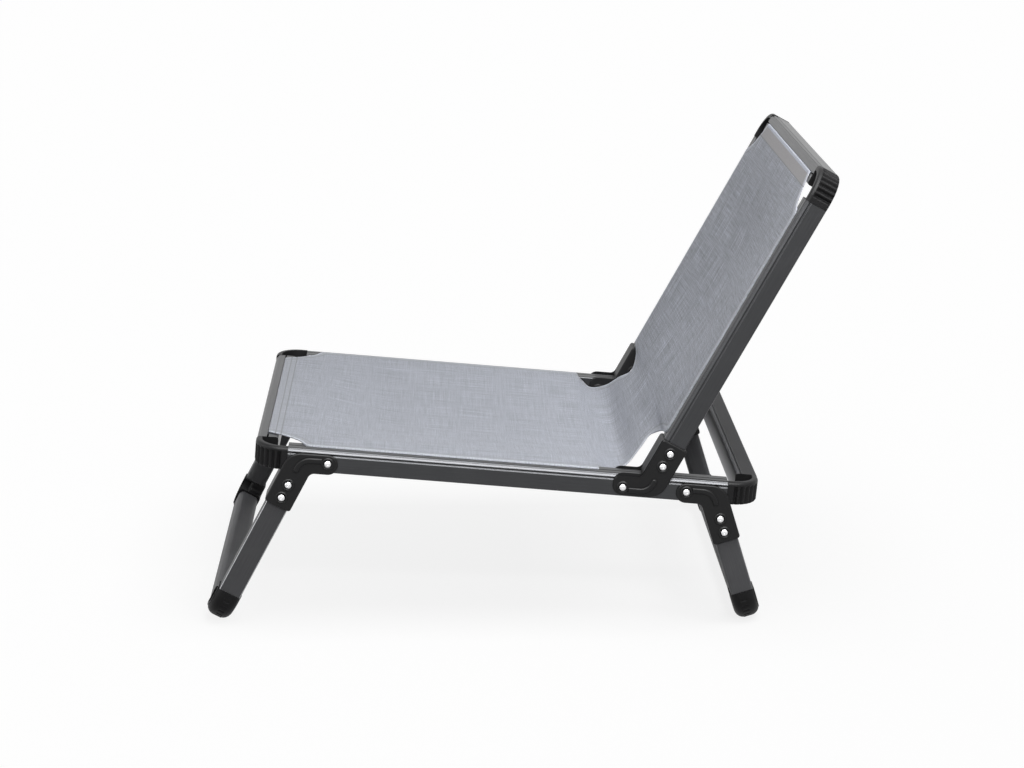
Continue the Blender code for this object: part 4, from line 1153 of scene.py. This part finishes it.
world = bpy.data.worlds.new("pale room")
scene.world = world
world.use_nodes = True
tree = world.node_tree
strength = maths(tree, "MULTIPLY_ADD", seen_directly(tree), 1.0 - AMBIENT, AMBIENT)
connect(tree, tree.nodes["Background"], {"Color": (1.0, 1.0, 1.0), "Strength": strength})
print("room", world.name, "fills with", AMBIENT)

# %% [markdown]
# ## Lamps
# A large soft lamp over the chair and a strip at its side give the shading and the soft shadow. Two more
# lamps, the glints, light gloss only: they draw the bright lines along edges and rivets without lighting
# the cloth or the floor. A real lamp can't do that, but here lines and shading can be set apart.

# %% Lamps
LAMPS = {"overhead": ((0.75, -0.45, 2.70), (2.3, 1.7), 52.0),
         "side_strip": ((0.80, -2.10, 1.90), (1.6, 0.3), 24.0)}
GLINTS = {"front_glint": ((0.0, -1.45, 1.89), (35, 0, 0), (2.4, 1.4), 118.0),
          "left_glint": ((-2.4, -0.5, 1.0), (0, -90, 0), (1.4, 1.6), 16.0)}


def area_lamp(name, spot, turn, size, power):
    data = bpy.data.lights.new(name, "AREA")
    data.shape, data.energy = "RECTANGLE", power
    data.size, data.size_y = size
    lamp = link_object(name, data)
    lamp.location, lamp.rotation_euler = spot, [math.radians(angle) for angle in turn]
    print("lamp", name, spot, power, "W")
    return lamp


for name, (spot, size, power) in LAMPS.items():
    area_lamp(name, spot, (0, 0, 0), size, power)
for name, (spot, turn, size, power) in GLINTS.items():
    area_lamp(name, spot, turn, size, power).visible_diffuse = False

# %% [markdown]
# ## Floor
# The photo's floor is as white as the background, with only a soft shadow under the chair. What each lamp
# gives an open floor can be worked out, so the floor glows by just what is missing to white: where the
# chair blocks a lamp, that lamp's share is missing and a shadow is left. A large lamp counts as four small
# ones, which is near enough to its true spread.

# %% Floor
FLOOR_HALF, WHITE, BOUNCE, SHADOW_SHARE = 14.0, 0.99, 0.22, 0.17
bm = bmesh.new()
bmesh.ops.create_grid(bm, x_segments=2, y_segments=2, size=FLOOR_HALF)
floor = link_object("floor", mesh_from("floor", bm))
FLOOR, tree, shader = new_material("pale floor")
spot = add_node(tree, "TexCoord").outputs["Object"]
lift = WHITE - SHADOW_SHARE * AMBIENT
quarters = [(x + right * wide / 4, y + ahead * deep / 4, height, power / 4)
            for (x, y, height), (wide, deep), power in LAMPS.values() for right in (-1, 1) for ahead in (-1, 1)]
for lamp_x, lamp_y, height, power in quarters:
    offset = add_node(tree, "VectorMath", {1: (lamp_x, lamp_y, 0), 0: spot},
                      operation="SUBTRACT").outputs[0]
    square = add_node(tree, "VectorMath", {0: offset, 1: offset},
                      operation="DOT_PRODUCT").outputs["Value"]
    spread = maths(tree, "MULTIPLY_ADD", square, 1 / height ** 2, 1.0)
    level = SHADOW_SHARE * power / (math.pi * height) ** 2
    lift = maths(tree, "SUBTRACT", lift, maths(tree, "DIVIDE", level, maths(tree, "MULTIPLY", spread, spread)))
seen = seen_directly(tree)
connect(tree, shader, {"Base Color": blended(tree, seen, (BOUNCE,) * 3, (SHADOW_SHARE,) * 3),
                       "Emission Strength": maths(tree, "MULTIPLY", lift, seen),
                       "Emission Color": (1.0, 1.0, 1.0), "Roughness": 0.9, "Specular IOR Level": 0.0})
floor.data.materials.append(FLOOR)
print("floor", [round(side, 1) for side in floor.dimensions])
